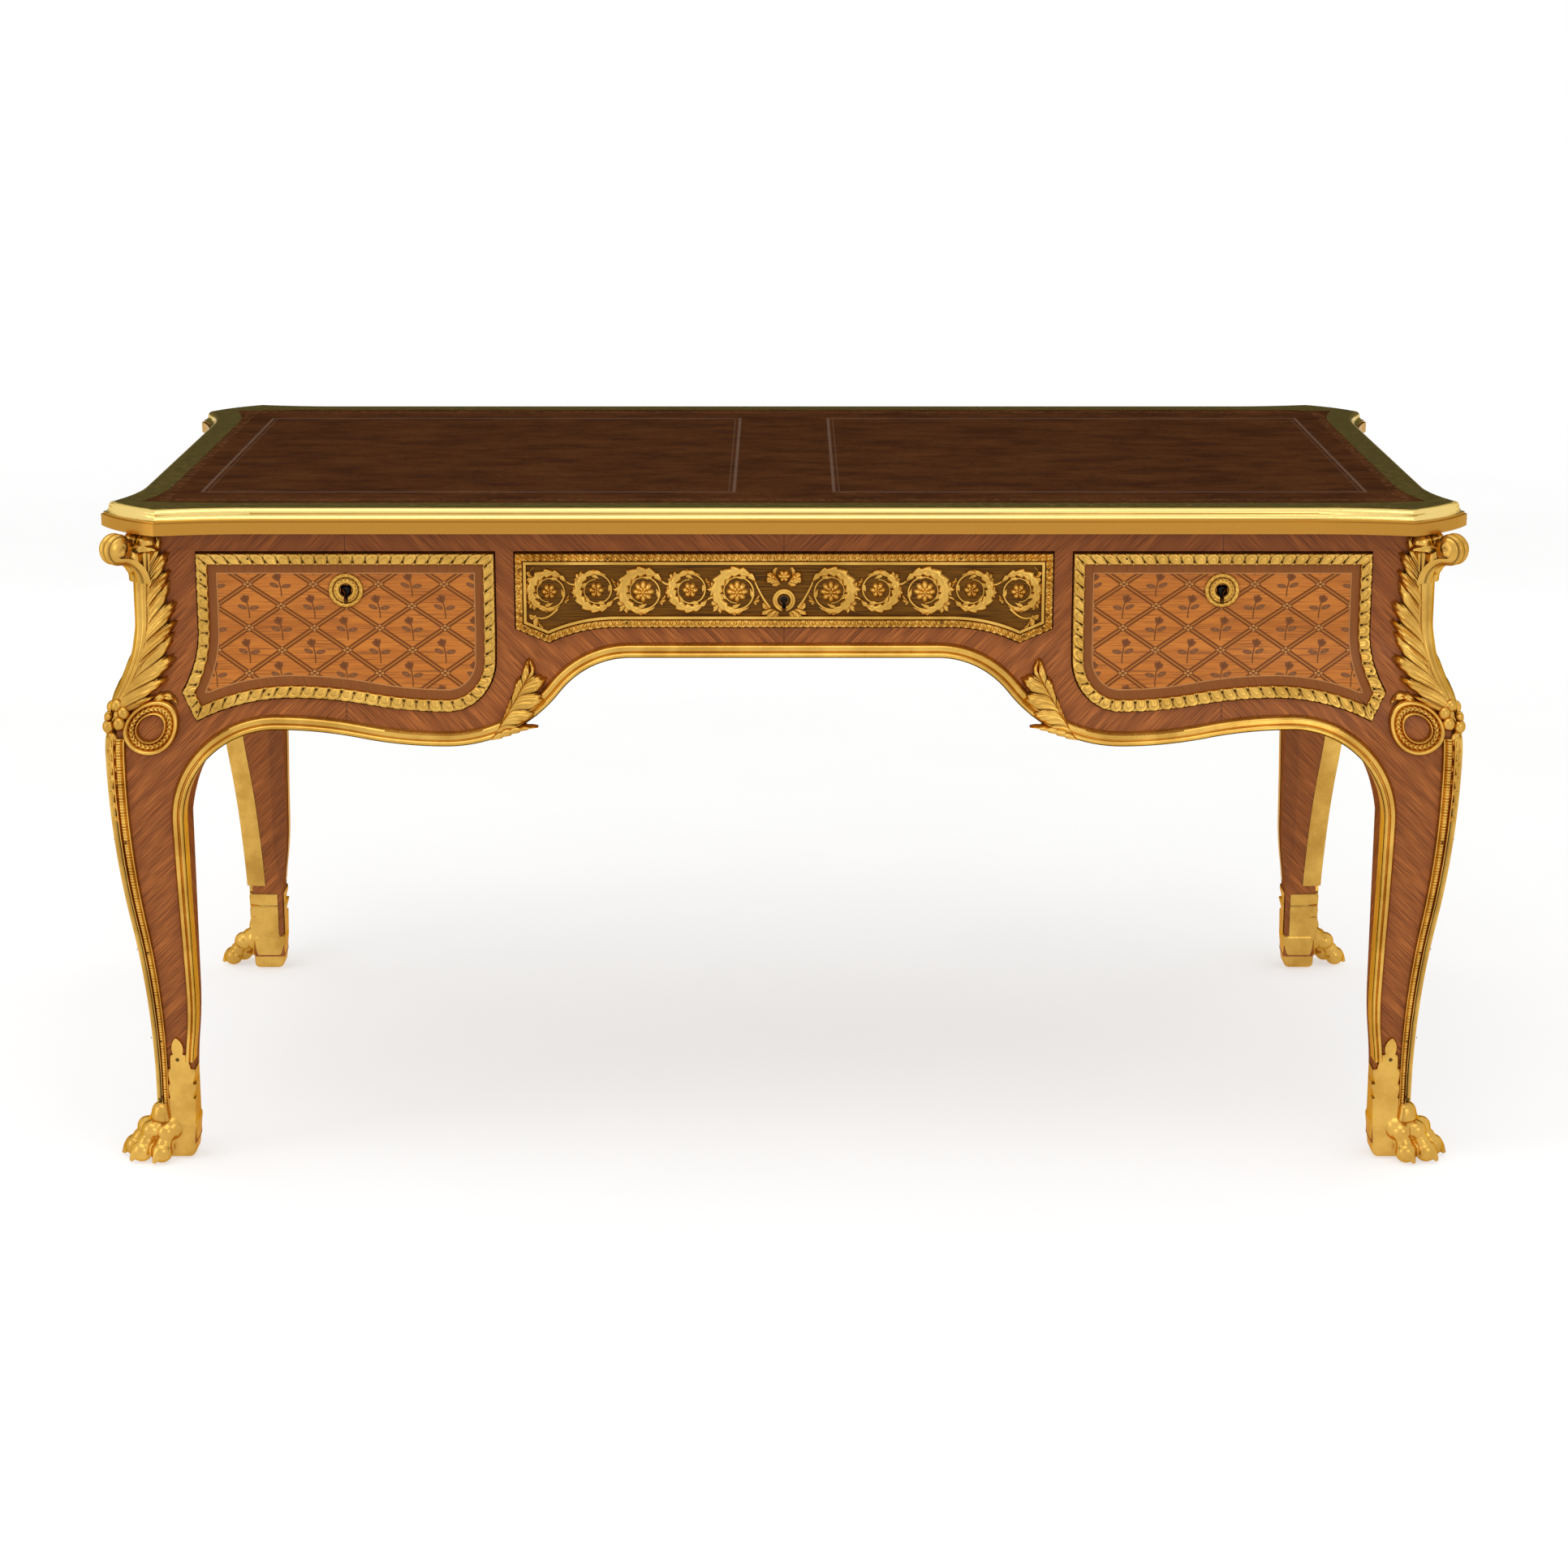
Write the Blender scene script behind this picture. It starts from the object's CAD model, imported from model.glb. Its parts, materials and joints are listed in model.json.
"""Looks of a veneered writing table with gilt bronze mounts: finishes, carved mounts, studio and camera."""

import bisect
import json
import math

import bmesh
import bpy
from mathutils import Matrix, Vector


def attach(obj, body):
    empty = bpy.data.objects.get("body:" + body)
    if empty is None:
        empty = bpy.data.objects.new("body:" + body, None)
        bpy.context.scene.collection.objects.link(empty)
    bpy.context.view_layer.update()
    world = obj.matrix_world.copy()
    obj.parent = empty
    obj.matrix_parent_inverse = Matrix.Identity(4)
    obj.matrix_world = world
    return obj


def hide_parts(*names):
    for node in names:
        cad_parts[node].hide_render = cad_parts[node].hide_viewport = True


bl_info = {
    "name": "Writing table looks",
    "version": (1, 0, 0),
    "blender": (4, 5, 0),
    "location": "3D View > Sidebar > Table",
    "description": "Builds the carved mounts, finishes and studio of a veneered writing table",
    "category": "Object",
}

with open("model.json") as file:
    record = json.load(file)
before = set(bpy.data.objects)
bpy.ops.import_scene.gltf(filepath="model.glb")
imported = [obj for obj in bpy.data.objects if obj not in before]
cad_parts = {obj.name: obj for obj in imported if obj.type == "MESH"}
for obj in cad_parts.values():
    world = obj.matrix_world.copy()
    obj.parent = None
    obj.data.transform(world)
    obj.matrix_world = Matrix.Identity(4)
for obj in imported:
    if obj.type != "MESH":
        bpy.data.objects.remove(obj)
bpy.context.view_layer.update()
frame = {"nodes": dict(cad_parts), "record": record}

# Sizes of the solid model, in metres
HALF_WIDTH = 0.734
HALF_DEPTH = 0.3845
FRIEZE_TOP = 0.757
DRAWER_TOP = 0.731
SWELL_START = 0.655
KNEE = 0.505
KNEE_SWELL = 0.036
ANKLE = 0.090
ANKLE_SWELL = 0.004
LEG_FACE = 0.0445
CALF = 0.210
ANKLE_SLIM = 0.008
LEATHER_X = 0.733
LEATHER_Y = 0.3635
TOOLED_HALF_X = 0.3085
TOOLED_HALF_Y = 0.288
TOOLED_INSET = 0.012

# Lower edge of the aprons
KNEEHOLE = 0.611
KNEEHOLE_FLAT = 0.176
KNEEHOLE_TURN = 49.7  # degrees
KNEEHOLE_RADIUS = 0.105
LOBE_RADIUS = 0.169
CREST = 0.533
ARCH_RADIUS = 0.110
SIDE_DROP = 0.516

# Drawers and panels
CENTRE_HALF = 0.3065
SIDE_INNER = 0.3295
STILE = 0.065
FLARE_START = 0.641
CUSP_OUT = 0.018
CUSP = 0.574
TIP_OUT = 0.001
TIP = 0.5425
SIDE_CREST_IN = 0.107
SIDE_CREST = 0.568
SIDE_BOTTOM = 0.553
SIDE_CORNER = 0.054
PANEL_DROP = 0.555
CENTRE_BOTTOM = 0.6452
CENTRE_SHOULDER = 0.6435
CENTRE_CUSP_IN = 0.0376
CENTRE_CUSP = 0.6275
CENTRE_CUSP_LENGTH = 0.078
SIDE_MIDDLE = 0.49925
SIDE_KEY = 0.688
CENTRE_KEY = 0.6766
KEY_RADIUS = 0.004
KEY_SLOT = 0.011
KEY_SLOT_HALF = 0.002

# Mounts
FRAME_WIDTH = 0.0136
FRAME_RISE = 0.006
MOULDING_WIDTH = 0.0155
MOULDING_RISE = 0.0078
CHUTE_FOOT = 0.562
RING_IN = 0.0115
RING_HEIGHT = 0.535
RING_RADIUS = 0.032
RING_HOLE = 0.014
BAND_INSET = 0.002
BAND_WIDTH = 0.016
BAND_SLIM = 0.007
BAND_RISE = 0.008
BAND_FOOT = 0.070
SABOT_TOP = 0.153
MOULDING_LAP = 0.03  # how far the mouldings run on behind the sabots
BANDING_WIDTH = 0.010
STRINGING_WIDTH = 0.0012
FRAME_LAP = 0.001  # how far the inlay reaches under a frame
SHEET_RISE = 0.0004
SHEET_STEP = 0.008  # between the rows that let a sheet follow the curve of a face
KEY_GAP_HALF = 0.006
KEY_GAP_DOWN = 0.013
KEY_GAP_UP = 0.006

# Scrolls of the centre drawer
SCROLL_PITCH = 0.0535
SCROLL_HEIGHT = 0.6874
SCROLL_STEM = 0.0022
KEY_PLATE = 0.0135

# Fineness of lines and meshes
POINT_STEP = 0.0016
SHARP_TURN = 18.0  # degrees
SHARP_EDGE = 50.0  # degrees
MERGE_DISTANCE = 1e-6
PAW_VOXEL = 0.0013

# Inlay: half widths of the lines, and the share of light that waxed wood reflects
TRELLIS_LINE = 0.0029
TRELLIS_CORE = 0.0006
CROSSING = 0.0036
SEAM_LINE = 0.0005
WAX_GLOSS = 0.14

# Legs, with the way each one mirrors the front left leg
CORNERS = {"front_left": (1, 1), "front_right": (-1, 1), "back_left": (1, -1), "back_right": (-1, -1)}


# Lines on the faces

class Pen:
    """Draws a line on a face as tangent straight and round stretches, sampled at close points."""

    def __init__(self, u, z, heading=0.0):
        self.heading = heading
        self.points = [Vector((u, z))]

    def line_to(self, u, z):
        start = self.points[-1]
        stretch = Vector((u, z)) - start
        count = max(1, round(stretch.length / POINT_STEP))
        self.points += [start + stretch * i / count for i in range(1, count + 1)]
        self.heading = math.degrees(math.atan2(stretch.y, stretch.x))
        return self

    def ahead(self, length):
        angle = math.radians(self.heading)
        start = self.points[-1]
        return self.line_to(start.x + length * math.cos(angle), start.y + length * math.sin(angle))

    def turn(self, angle, radius):
        """A tangent arc; a positive angle bends to the left."""
        side = math.copysign(1, angle)
        start = math.radians(self.heading - 90 * side)
        centre = self.points[-1] - Vector((math.cos(start), math.sin(start))) * radius
        count = max(2, round(math.radians(abs(angle)) * radius / POINT_STEP))
        for i in range(1, count + 1):
            spoke = start + math.radians(angle) * i / count
            self.points.append(centre + Vector((math.cos(spoke), math.sin(spoke))) * radius)
        self.heading += angle
        return self

    def sway(self, across, along):
        """Two equal tangent arcs that end on a parallel line, across to the left of the heading."""
        radius = (along ** 2 + across ** 2) / (4 * abs(across))
        angle = math.copysign(math.degrees(math.asin(along / 2 / radius)), across)
        return self.turn(angle, radius).turn(-angle, radius)

    def arc_to(self, u, z):
        """A tangent arc that ends at a given point."""
        chord = Vector((u, z)) - self.points[-1]
        lean = math.degrees(math.atan2(chord.y, chord.x))
        angle = 2 * ((lean - self.heading + 180) % 360 - 180)
        return self.turn(angle, chord.length / (2 * math.sin(math.radians(abs(angle) / 2))))


def mirrored_points(points):
    return [Vector((-point.x, point.y)) for point in reversed(points)]


def flare_down(pen, outer):
    """Carries an outline along its top, down its flared outer edge and back to the crest below."""
    tip = (outer + TIP_OUT, TIP)
    crest = (outer - SIDE_CREST_IN, SIDE_CREST)
    pen.line_to(outer, DRAWER_TOP)
    pen.line_to(outer, FLARE_START)
    pen.arc_to(outer + CUSP_OUT, CUSP)
    pen.line_to(*tip)
    pen.points += list(reversed(Pen(*crest).arc_to(*tip).points))[1:]
    return crest


def side_drawer_line():
    """Outline of the right-hand drawer front, clockwise from its inner top corner."""
    pen = Pen(SIDE_INNER, DRAWER_TOP)
    crest = flare_down(pen, HALF_WIDTH - STILE)
    run = Pen(*crest, heading=180)
    run.sway(SIDE_CREST - SIDE_BOTTOM, crest[0] - SIDE_INNER - SIDE_CORNER)
    run.turn(-90, SIDE_CORNER)
    run.line_to(SIDE_INNER, DRAWER_TOP)
    return pen.points + run.points[1:-1]


def centre_drawer_line():
    """Outline of the centre drawer front, clockwise from the middle of its top edge."""
    cusp = (CENTRE_HALF - CENTRE_CUSP_IN, CENTRE_CUSP)
    pen = Pen(0, DRAWER_TOP)
    pen.line_to(CENTRE_HALF, DRAWER_TOP)
    pen.line_to(CENTRE_HALF, CENTRE_SHOULDER)
    pen.line_to(*cusp)
    rise = Pen(cusp[0] - CENTRE_CUSP_LENGTH, CENTRE_BOTTOM).arc_to(*cusp).points
    pen.points += list(reversed(rise))[1:]
    pen.line_to(0, CENTRE_BOTTOM)
    return pen.points + mirrored_points(pen.points)[1:-1]


def side_panel_line():
    """Outline of the panel on a side of the table, clockwise from the middle of its top edge."""
    pen = Pen(0, DRAWER_TOP)
    crest = flare_down(pen, HALF_DEPTH - STILE)
    pen.points += Pen(*crest, heading=180).sway(SIDE_CREST - PANEL_DROP, crest[0]).points[1:]
    return pen.points + mirrored_points(pen.points)[1:-1]


def leg_line(pen):
    """Carries a lower edge on down the inner edge of a leg to the sabot."""
    pen.turn(-90, ARCH_RADIUS)
    pen.ahead(CREST - ARCH_RADIUS - CALF)
    pen.sway(ANKLE_SLIM, CALF - ANKLE)
    return [point for point in pen.points if point.y > SABOT_TOP - MOULDING_LAP]


def front_edge_line():
    """Lower edge of the front from the middle to the right-hand sabot."""
    turn = math.radians(KNEEHOLE_TURN)
    radii = KNEEHOLE_RADIUS + LOBE_RADIUS
    lobe = (KNEEHOLE_FLAT + radii * math.sin(turn), KNEEHOLE - radii * (1 - math.cos(turn)))
    pen = Pen(0, KNEEHOLE)
    pen.ahead(KNEEHOLE_FLAT)
    pen.turn(-KNEEHOLE_TURN, KNEEHOLE_RADIUS)
    pen.turn(KNEEHOLE_TURN, LOBE_RADIUS)
    pen.sway(CREST - lobe[1], HALF_WIDTH - LEG_FACE - ARCH_RADIUS - lobe[0])
    return leg_line(pen)


def side_edge_line():
    """Lower edge of a side from the middle to a sabot."""
    pen = Pen(0, SIDE_DROP)
    pen.sway(CREST - SIDE_DROP, HALF_DEPTH - LEG_FACE - ARCH_RADIUS)
    return leg_line(pen)


def sway_reach(distance, across, along):
    """How far a sway of two equal arcs has gone across, at a distance along it."""
    radius = (along ** 2 + across ** 2) / (4 * across)
    if distance <= along / 2:
        return radius - math.sqrt(radius ** 2 - distance ** 2)
    return across - radius + math.sqrt(radius ** 2 - (along - distance) ** 2)


def saber(z):
    """How far a face stands out from the frieze at a height."""
    if z >= SWELL_START:
        return 0.0
    if z >= KNEE:
        return sway_reach(SWELL_START - z, KNEE_SWELL, SWELL_START - KNEE)
    if z >= ANKLE:
        return KNEE_SWELL - sway_reach(KNEE - z, KNEE_SWELL - ANKLE_SWELL, KNEE - ANKLE)
    return ANKLE_SWELL


def on_side(side):
    """Gives the function that puts a place on one of the four faces, so far out, into the room."""
    reach = HALF_DEPTH if side in ("front", "back") else HALF_WIDTH
    turns = {"front": 0, "right": 90, "back": 180, "left": 270}
    turn = Matrix.Rotation(math.radians(turns[side]), 3, "Z")

    def place(u, z, out):
        return turn @ Vector((u, -reach - saber(z) - out, z))

    return place


def round_corner(radius=0.006):
    """Gives the function that wraps a strip round the front left corner, side minus and front plus."""

    def place(along, z, out):
        corner = Vector((-HALF_WIDTH - saber(z), -HALF_DEPTH - saber(z), z))
        if along > radius:
            return corner + Vector((along, -out, 0))
        if along < -radius:
            return corner + Vector((-out, -along, 0))
        angle = math.radians(45 + 45 * along / radius)
        centre = corner + Vector((radius, radius, 0))
        return centre - Vector((math.cos(angle), math.sin(angle), 0)) * (radius + out)

    return place


def flipped(place, side):
    """The same function for the other side of the middle, where side is minus one."""
    def across(u, z, out):
        return place(side * u, z, out)

    return across


# Meshes

def new_mesh():
    bm = bmesh.new()
    bm.verts.layers.float.new("cavity")
    return bm


def bent_grid(bm, columns, rows, spot, place):
    """A grid bent by a formula: spot gives the place on the face, the height over it and the shade."""
    cavity = bm.verts.layers.float["cavity"]
    made = bmesh.ops.create_grid(bm, x_segments=columns, y_segments=rows, size=1.0)
    faces = set()
    for vert in made["verts"]:
        column = round((vert.co.x + 1) * columns / 2)
        row = round((vert.co.y + 1) * rows / 2)
        u, z, out, shade = spot(column, row)
        vert.co = place(u, z, out)
        vert[cavity] = shade
        faces.update(vert.link_faces)
    middle = spot(columns // 2, rows // 2)
    outward = place(middle[0], middle[1], middle[2] + 0.01) - place(*middle[:3])
    bm.normal_update()
    if sum(face.normal.dot(outward) * face.calc_area() for face in faces) < 0:
        bmesh.ops.reverse_faces(bm, faces=list(faces))
    return made["verts"]


def round_grid(bm, columns, rows, spot, place):
    """A bent grid that closes round its middle, its seam joined."""
    verts = bent_grid(bm, columns, rows, spot, place)
    bmesh.ops.remove_doubles(bm, verts=verts, dist=MERGE_DISTANCE)


class Stretch:
    """A length of a line between two sharp corners, with the turns at its ends."""

    def __init__(self, points, first_turn, last_turn):
        self.points = points
        self.turns = (math.tan(first_turn / 2), math.tan(last_turn / 2))
        self.runs = [0.0]
        for i in range(1, len(points)):
            self.runs.append(self.runs[-1] + (points[i] - points[i - 1]).length)
        self.length = self.runs[-1]
        self.normals = []
        for i in range(len(points)):
            run = points[min(i + 1, len(points) - 1)] - points[max(i - 1, 0)]
            self.normals.append(Vector((run.y, -run.x)).normalized())

    def beside(self, index, distance):
        """The place so far to the right of a point, the whole stretch kept between its mitres."""
        start, stop = (turn * distance for turn in self.turns)
        run = start + self.runs[index] * (self.length - start - stop) / self.length
        before = min(max(bisect.bisect_right(self.runs, run) - 1, 0), len(self.points) - 2)
        share = (run - self.runs[before]) / (self.runs[before + 1] - self.runs[before])
        at = self.points[before].lerp(self.points[before + 1], share)
        normal = self.normals[before].lerp(self.normals[before + 1], min(max(share, 0.0), 1.0)).normalized()
        return at + normal * distance


def stretches(points, closed):
    """A line cut at its sharp corners."""
    count = len(points)
    turns = {}
    for i in range(0 if closed else 1, count if closed else count - 1):
        first = points[i] - points[i - 1]
        second = points[(i + 1) % count] - points[i]
        turn = first.angle_signed(second)
        if abs(turn) > math.radians(SHARP_TURN):
            turns[i] = turn
    if not closed:
        turns[0] = 0.0
        turns[count - 1] = 0.0
    corners = sorted(turns)
    if closed:
        corners.append(corners[0] + count)
    cut = []
    for first, last in zip(corners, corners[1:]):
        length = [points[i % count] for i in range(first, last + 1)]
        cut.append(Stretch(length, turns[first % count], turns[last % count]))
    return cut


def ribbon(bm, points, width, rows, relief, place, closed=False):
    """A band along a line, on its right, with a relief that depends on the run along and the share across."""
    done = 0.0
    for stretch in stretches(points, closed):
        def spot(column, row, stretch=stretch, done=done):
            run = done + stretch.runs[column]
            share = row / rows
            reach = width(run) if callable(width) else width
            at = stretch.beside(column, reach * share)
            height, shade = relief(run, share)
            return at.x, at.y, height, shade

        bent_grid(bm, len(stretch.points) - 1, rows, spot, place)
        done += stretch.length


def rolls(share, *bars):
    """Section of a moulding made of half-round bars, each from a start to a stop with its height."""
    height = 0.0
    for start, stop, top in bars:
        across = (2 * share - start - stop) / (stop - start)
        if abs(across) < 1:
            height = max(height, top * math.sqrt(1 - across ** 2))
    return height


def leaf(bm, place, at, angle, length, width, rise,
         lobes=0, tip=0.0, base=0.0, bend=0.0, widest=0.4, columns=14, rows=8):
    """A veined leaf that springs from a place on a face, with notched edges and a tip that lifts."""
    fullness = math.log(0.5) / math.log(widest)

    def spot(column, row):
        along = column / columns
        across = 2 * row / rows - 1
        half = width / 2 * max(0.0, math.sin(math.pi * (0.04 + 0.96 * along) ** fullness)) ** 0.8
        if lobes:
            half *= 0.62 + 0.38 * ((along * lobes) % 1.0) ** 0.7
        heading = math.radians(angle + bend * (along - 0.5))
        run = length * along
        u = at[0] + run * math.cos(heading) - half * across * math.sin(heading)
        z = at[1] + run * math.sin(heading) + half * across * math.cos(heading)
        dome = 1 - across ** 2
        vein = math.exp(-(across / 0.15) ** 2)
        ribs = 0.5 + 0.5 * math.cos(2 * math.pi * (along * max(lobes, 3) - abs(across) * 0.9))
        swell = math.sin(math.pi * min(0.15 + along * 0.85, 1)) ** 0.5
        height = rise * swell * (0.30 * dome + 0.42 * math.sqrt(dome) + 0.20 * ribs * dome - 0.16 * vein)
        height += tip * along ** 2 * dome + base * math.sqrt(dome)
        shade = 0.85 * abs(across) ** 7 + 0.5 * vein * (1 - along) + 0.55 * (1 - ribs) ** 2 * abs(across)
        return u, z, height, min(1.0, shade)

    bent_grid(bm, columns, rows, spot, place)


def lobe(bm, place, start, end, width, rise, **shape):
    """A leaf from one place on a face to another."""
    run = Vector(end) - Vector(start)
    leaf(bm, place, start, math.degrees(math.atan2(run.y, run.x)), run.length, width, rise, **shape)


def acanthus(bm, place, spine, tips, rise, lift=0.002, low=0.0, bend=0.45, notch=0.70, rows=16):
    """Broad leaf with a toothed lobe at every tip, its flutes leaving the spine one above the other."""
    base, crown = (Vector(end) for end in spine)
    ends = [Vector(tip) for tip in tips]
    growth = (crown - base).normalized()
    count = len(ends)
    roots = [base.lerp(crown, i / (count - 1)) for i in range(count)]
    stations = [(base, 1.4 * ends[0] - 0.4 * ends[1])]
    for i in range(count - 1):
        stations += [(roots[i], ends[i]), ((roots[i] + roots[i + 1]) / 2, (ends[i] + ends[i + 1]) / 2)]
    stations += [(crown, ends[-1]), (crown, 1.4 * ends[-1] - 0.4 * ends[-2])]
    steps = 10
    columns = steps * (len(stations) - 1)

    def spot(column, row):
        index = min(column // steps, len(stations) - 2)
        share = column / steps - index
        root, end = (stations[index][i].lerp(stations[index + 1][i], share) for i in (0, 1))
        across = share if index % 2 else 1 - share
        tooth = (2.4 * across) % 1.0
        end = root.lerp(end, (1 - (1 - notch) * across ** 2.6) * (1 - 0.09 * tooth))
        along = 0.03 + 0.97 * row / rows
        control = root + growth * (end - root).length * bend
        at = root * (1 - along) ** 2 + control * 2 * along * (1 - along) + end * along ** 2
        flute = 0.5 + 0.5 * math.cos(4.8 * math.pi * across)
        ends_in = min(1.0, 4 * column / columns, 4 - 4 * column / columns) ** 0.5
        border = math.sqrt(max(0.0, 1 - along ** 10)) * ends_in
        ridge = 0.42 + 0.40 * (1 - across ** 2) * along ** 0.5 + 0.18 * flute * along
        valley = math.exp(-((1 - across) / 0.15) ** 2) * along ** 0.6
        hollow = 0.40 * (1 - flute) ** 2 * along * (1 - along) * 2
        shade = min(1.0, 0.85 * valley + hollow + 0.45 * along ** 18)
        return at.x, at.y, (rise * ridge + low + lift * along ** 2) * border, shade

    bent_grid(bm, columns, rows, spot, place)


def bulb(bm, at, radius, squash=1.0):
    """A round swelling, flatter or taller with the squash."""
    made = bmesh.ops.create_icosphere(bm, subdivisions=3, radius=radius)
    bmesh.ops.scale(bm, vec=(1, 1, squash), verts=made["verts"])
    bmesh.ops.translate(bm, vec=at, verts=made["verts"])


def vine(bm, place, points, radius, base=0.0, rows=6):
    """A half-round stem along a line, thinner towards its end."""
    count = len(points)

    def spot(column, row):
        before = points[max(column - 1, 0)]
        after = points[min(column + 1, count - 1)]
        run = (after - before).normalized()
        across = 2 * row / rows - 1
        reach = radius * (1 - 0.45 * column / (count - 1))
        at = points[column] + Vector((-run.y, run.x)) * reach * across
        return at.x, at.y, base + 1.3 * reach * math.sqrt(max(0, 1 - across ** 2)), abs(across) ** 3

    bent_grid(bm, count - 1, rows, spot, place)


def rosette(bm, place, at, radius, petals, rise, base=0.0, rings=7):
    """A flower seen from the front: cupped petals round a button."""
    columns = petals * 6

    def spot(column, row):
        angle = 2 * math.pi * column / columns
        share = row / rings
        fold = abs(math.cos(petals * angle / 2))
        reach = radius * share * (0.80 + 0.20 * fold ** 0.6 * share)
        button = math.exp(-(share / 0.26) ** 2)
        cup = math.sin(math.pi * min(share * 1.02, 1)) * (0.35 + 0.65 * fold)
        height = base * (1 - share ** 6) + rise * max(button, 0.8 * cup)
        shade = max(0.0, 1 - max(button * 1.4, cup * (0.7 + 0.7 * fold))) * 0.45
        return at[0] + reach * math.cos(angle), at[1] + reach * math.sin(angle), height, shade

    round_grid(bm, columns, rings, spot, place)


def screw(bm, place, at, base, radius=0.0015):
    """Dark head of a screw in a mount."""
    columns, rows = 12, 3
    dome, dark = 0.0004, 0.97

    def spot(column, row):
        angle = 2 * math.pi * column / columns
        reach = radius * row / rows
        height = base + dome * (rows - row) / rows
        return at[0] + reach * math.cos(angle), at[1] + reach * math.sin(angle), height, dark

    round_grid(bm, columns, rows, spot, place)


def mirrored(bm, sx, sy):
    """A copy of a mesh, mirrored across the middle of the table."""
    copy = bm.copy()
    bmesh.ops.scale(copy, vec=(sx, sy, 1), verts=copy.verts)
    if sx * sy < 0:
        bmesh.ops.reverse_faces(copy, faces=copy.faces)
    return copy


def add_copy(target, source):
    """Adds one mesh to another."""
    mesh = bpy.data.meshes.new("joined")
    source.to_mesh(mesh)
    source.free()
    target.from_mesh(mesh)
    bpy.data.meshes.remove(mesh)


def new_object(name, bm, finish):
    """Turns a mesh into an object of the scene, in one finish."""
    mesh = bpy.data.meshes.new(name)
    bm.to_mesh(mesh)
    bm.free()
    mesh.materials.append(bpy.data.materials[finish])
    made = bpy.data.objects.new(name, mesh)
    bpy.context.scene.collection.objects.link(made)
    return made


def piece(name, bm, finish, body, stands_for=()):
    """Turns a mesh into a finished piece that rides on a body of the solid model."""
    for face in bm.faces:
        face.smooth = True
    made = new_object(name, bm, finish)
    made.data.set_sharp_from_angle(angle=math.radians(SHARP_EDGE))
    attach(made, body)
    if stands_for:
        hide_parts(*stands_for)
    return made


def cast(name, bm, body, *stands_for):
    """A gilt bronze piece, in place of nodes of the solid model."""
    return piece(name, bm, "gilt bronze", body, stands_for)


# Shaders

class Graph:
    """Adds shader nodes to a tree with short calls."""

    def __init__(self, tree):
        self.tree = tree
        self.tree.nodes.clear()

    def feed(self, socket, value):
        if isinstance(value, bpy.types.NodeSocket):
            self.tree.links.new(value, socket)
        else:
            socket.default_value = value

    def node(self, kind, inputs=None, **settings):
        made = self.tree.nodes.new(kind)
        for name, value in settings.items():
            setattr(made, name, value)
        for name, value in (inputs or {}).items():
            self.feed(made.inputs[name], value)
        return made

    def math(self, operation, *values):
        made = self.node("ShaderNodeMath", operation=operation)
        for socket, value in zip(made.inputs, values):
            self.feed(socket, value)
        return made.outputs[0]

    def times(self, first, second):
        return self.math("MULTIPLY", first, second)

    def plus(self, first, second):
        return self.math("ADD", first, second)

    def minus(self, first, second):
        return self.math("SUBTRACT", first, second)

    def absolute(self, value):
        return self.math("ABSOLUTE", value)

    def below(self, value, edge, soft):
        """One where a value is under an edge, fading to none above it."""
        made = self.node("ShaderNodeMapRange", {0: value, 1: edge - soft, 2: edge + soft, 3: 1.0, 4: 0.0},
                         interpolation_type="SMOOTHSTEP")
        return made.outputs[0]

    def mix(self, share, first, second):
        made = self.node("ShaderNodeMix", {0: share, 6: first, 7: second}, data_type="RGBA")
        return made.outputs[2]

    def noise(self, vector, scale, detail=3.0, roughness=0.55):
        inputs = {"Vector": vector, "Scale": scale, "Detail": detail, "Roughness": roughness}
        return self.node("ShaderNodeTexNoise", inputs).outputs[0]

    def vector(self, x, y, z):
        return self.node("ShaderNodeCombineXYZ", {0: x, 1: y, 2: z}).outputs[0]

    def where(self, kind="Object"):
        """The place of the point on the table in metres, or the way it faces."""
        return self.node("ShaderNodeTexCoord").outputs[kind]

    def parts(self, kind="Object"):
        """The same as separate x, y and z."""
        return self.node("ShaderNodeSeparateXYZ", {0: self.where(kind)}).outputs

    def group(self, name, inputs):
        made = self.node("ShaderNodeGroup", node_tree=bpy.data.node_groups[name])
        for key, value in inputs.items():
            self.feed(made.inputs[key], value)
        return made.outputs

    def gloss(self, level):
        """A polish that fades where the surface turns away, as on old wax."""
        facing = self.node("ShaderNodeLayerWeight", {"Blend": 0.5}).outputs["Facing"]
        return self.times(self.below(facing, 0.55, 0.25), level)

    def surface(self, inputs, bump=None, strength=0.2, distance=0.0004):
        shader = self.node("ShaderNodeBsdfPrincipled", inputs)
        if bump is not None:
            bumped = self.node("ShaderNodeBump", {"Strength": strength, "Distance": distance, "Height": bump})
            self.tree.links.new(bumped.outputs[0], shader.inputs["Normal"])
        output = self.node("ShaderNodeOutputMaterial")
        self.tree.links.new(shader.outputs[0], output.inputs["Surface"])


def colour(red, green, blue):
    return (red, green, blue, 1.0)


def new_group(name, inputs, outputs):
    tree = bpy.data.node_groups.new(name, "ShaderNodeTree")
    for label, kind in inputs.items():
        tree.interface.new_socket(name=label, in_out="INPUT", socket_type=kind)
    for label, kind in outputs.items():
        tree.interface.new_socket(name=label, in_out="OUTPUT", socket_type=kind)
    graph = Graph(tree)
    source = graph.node("NodeGroupInput").outputs
    target = graph.node("NodeGroupOutput").inputs
    return graph, source, target


def new_material(name):
    material = bpy.data.materials.new(name)
    material.use_nodes = True
    return Graph(material.node_tree)


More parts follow.
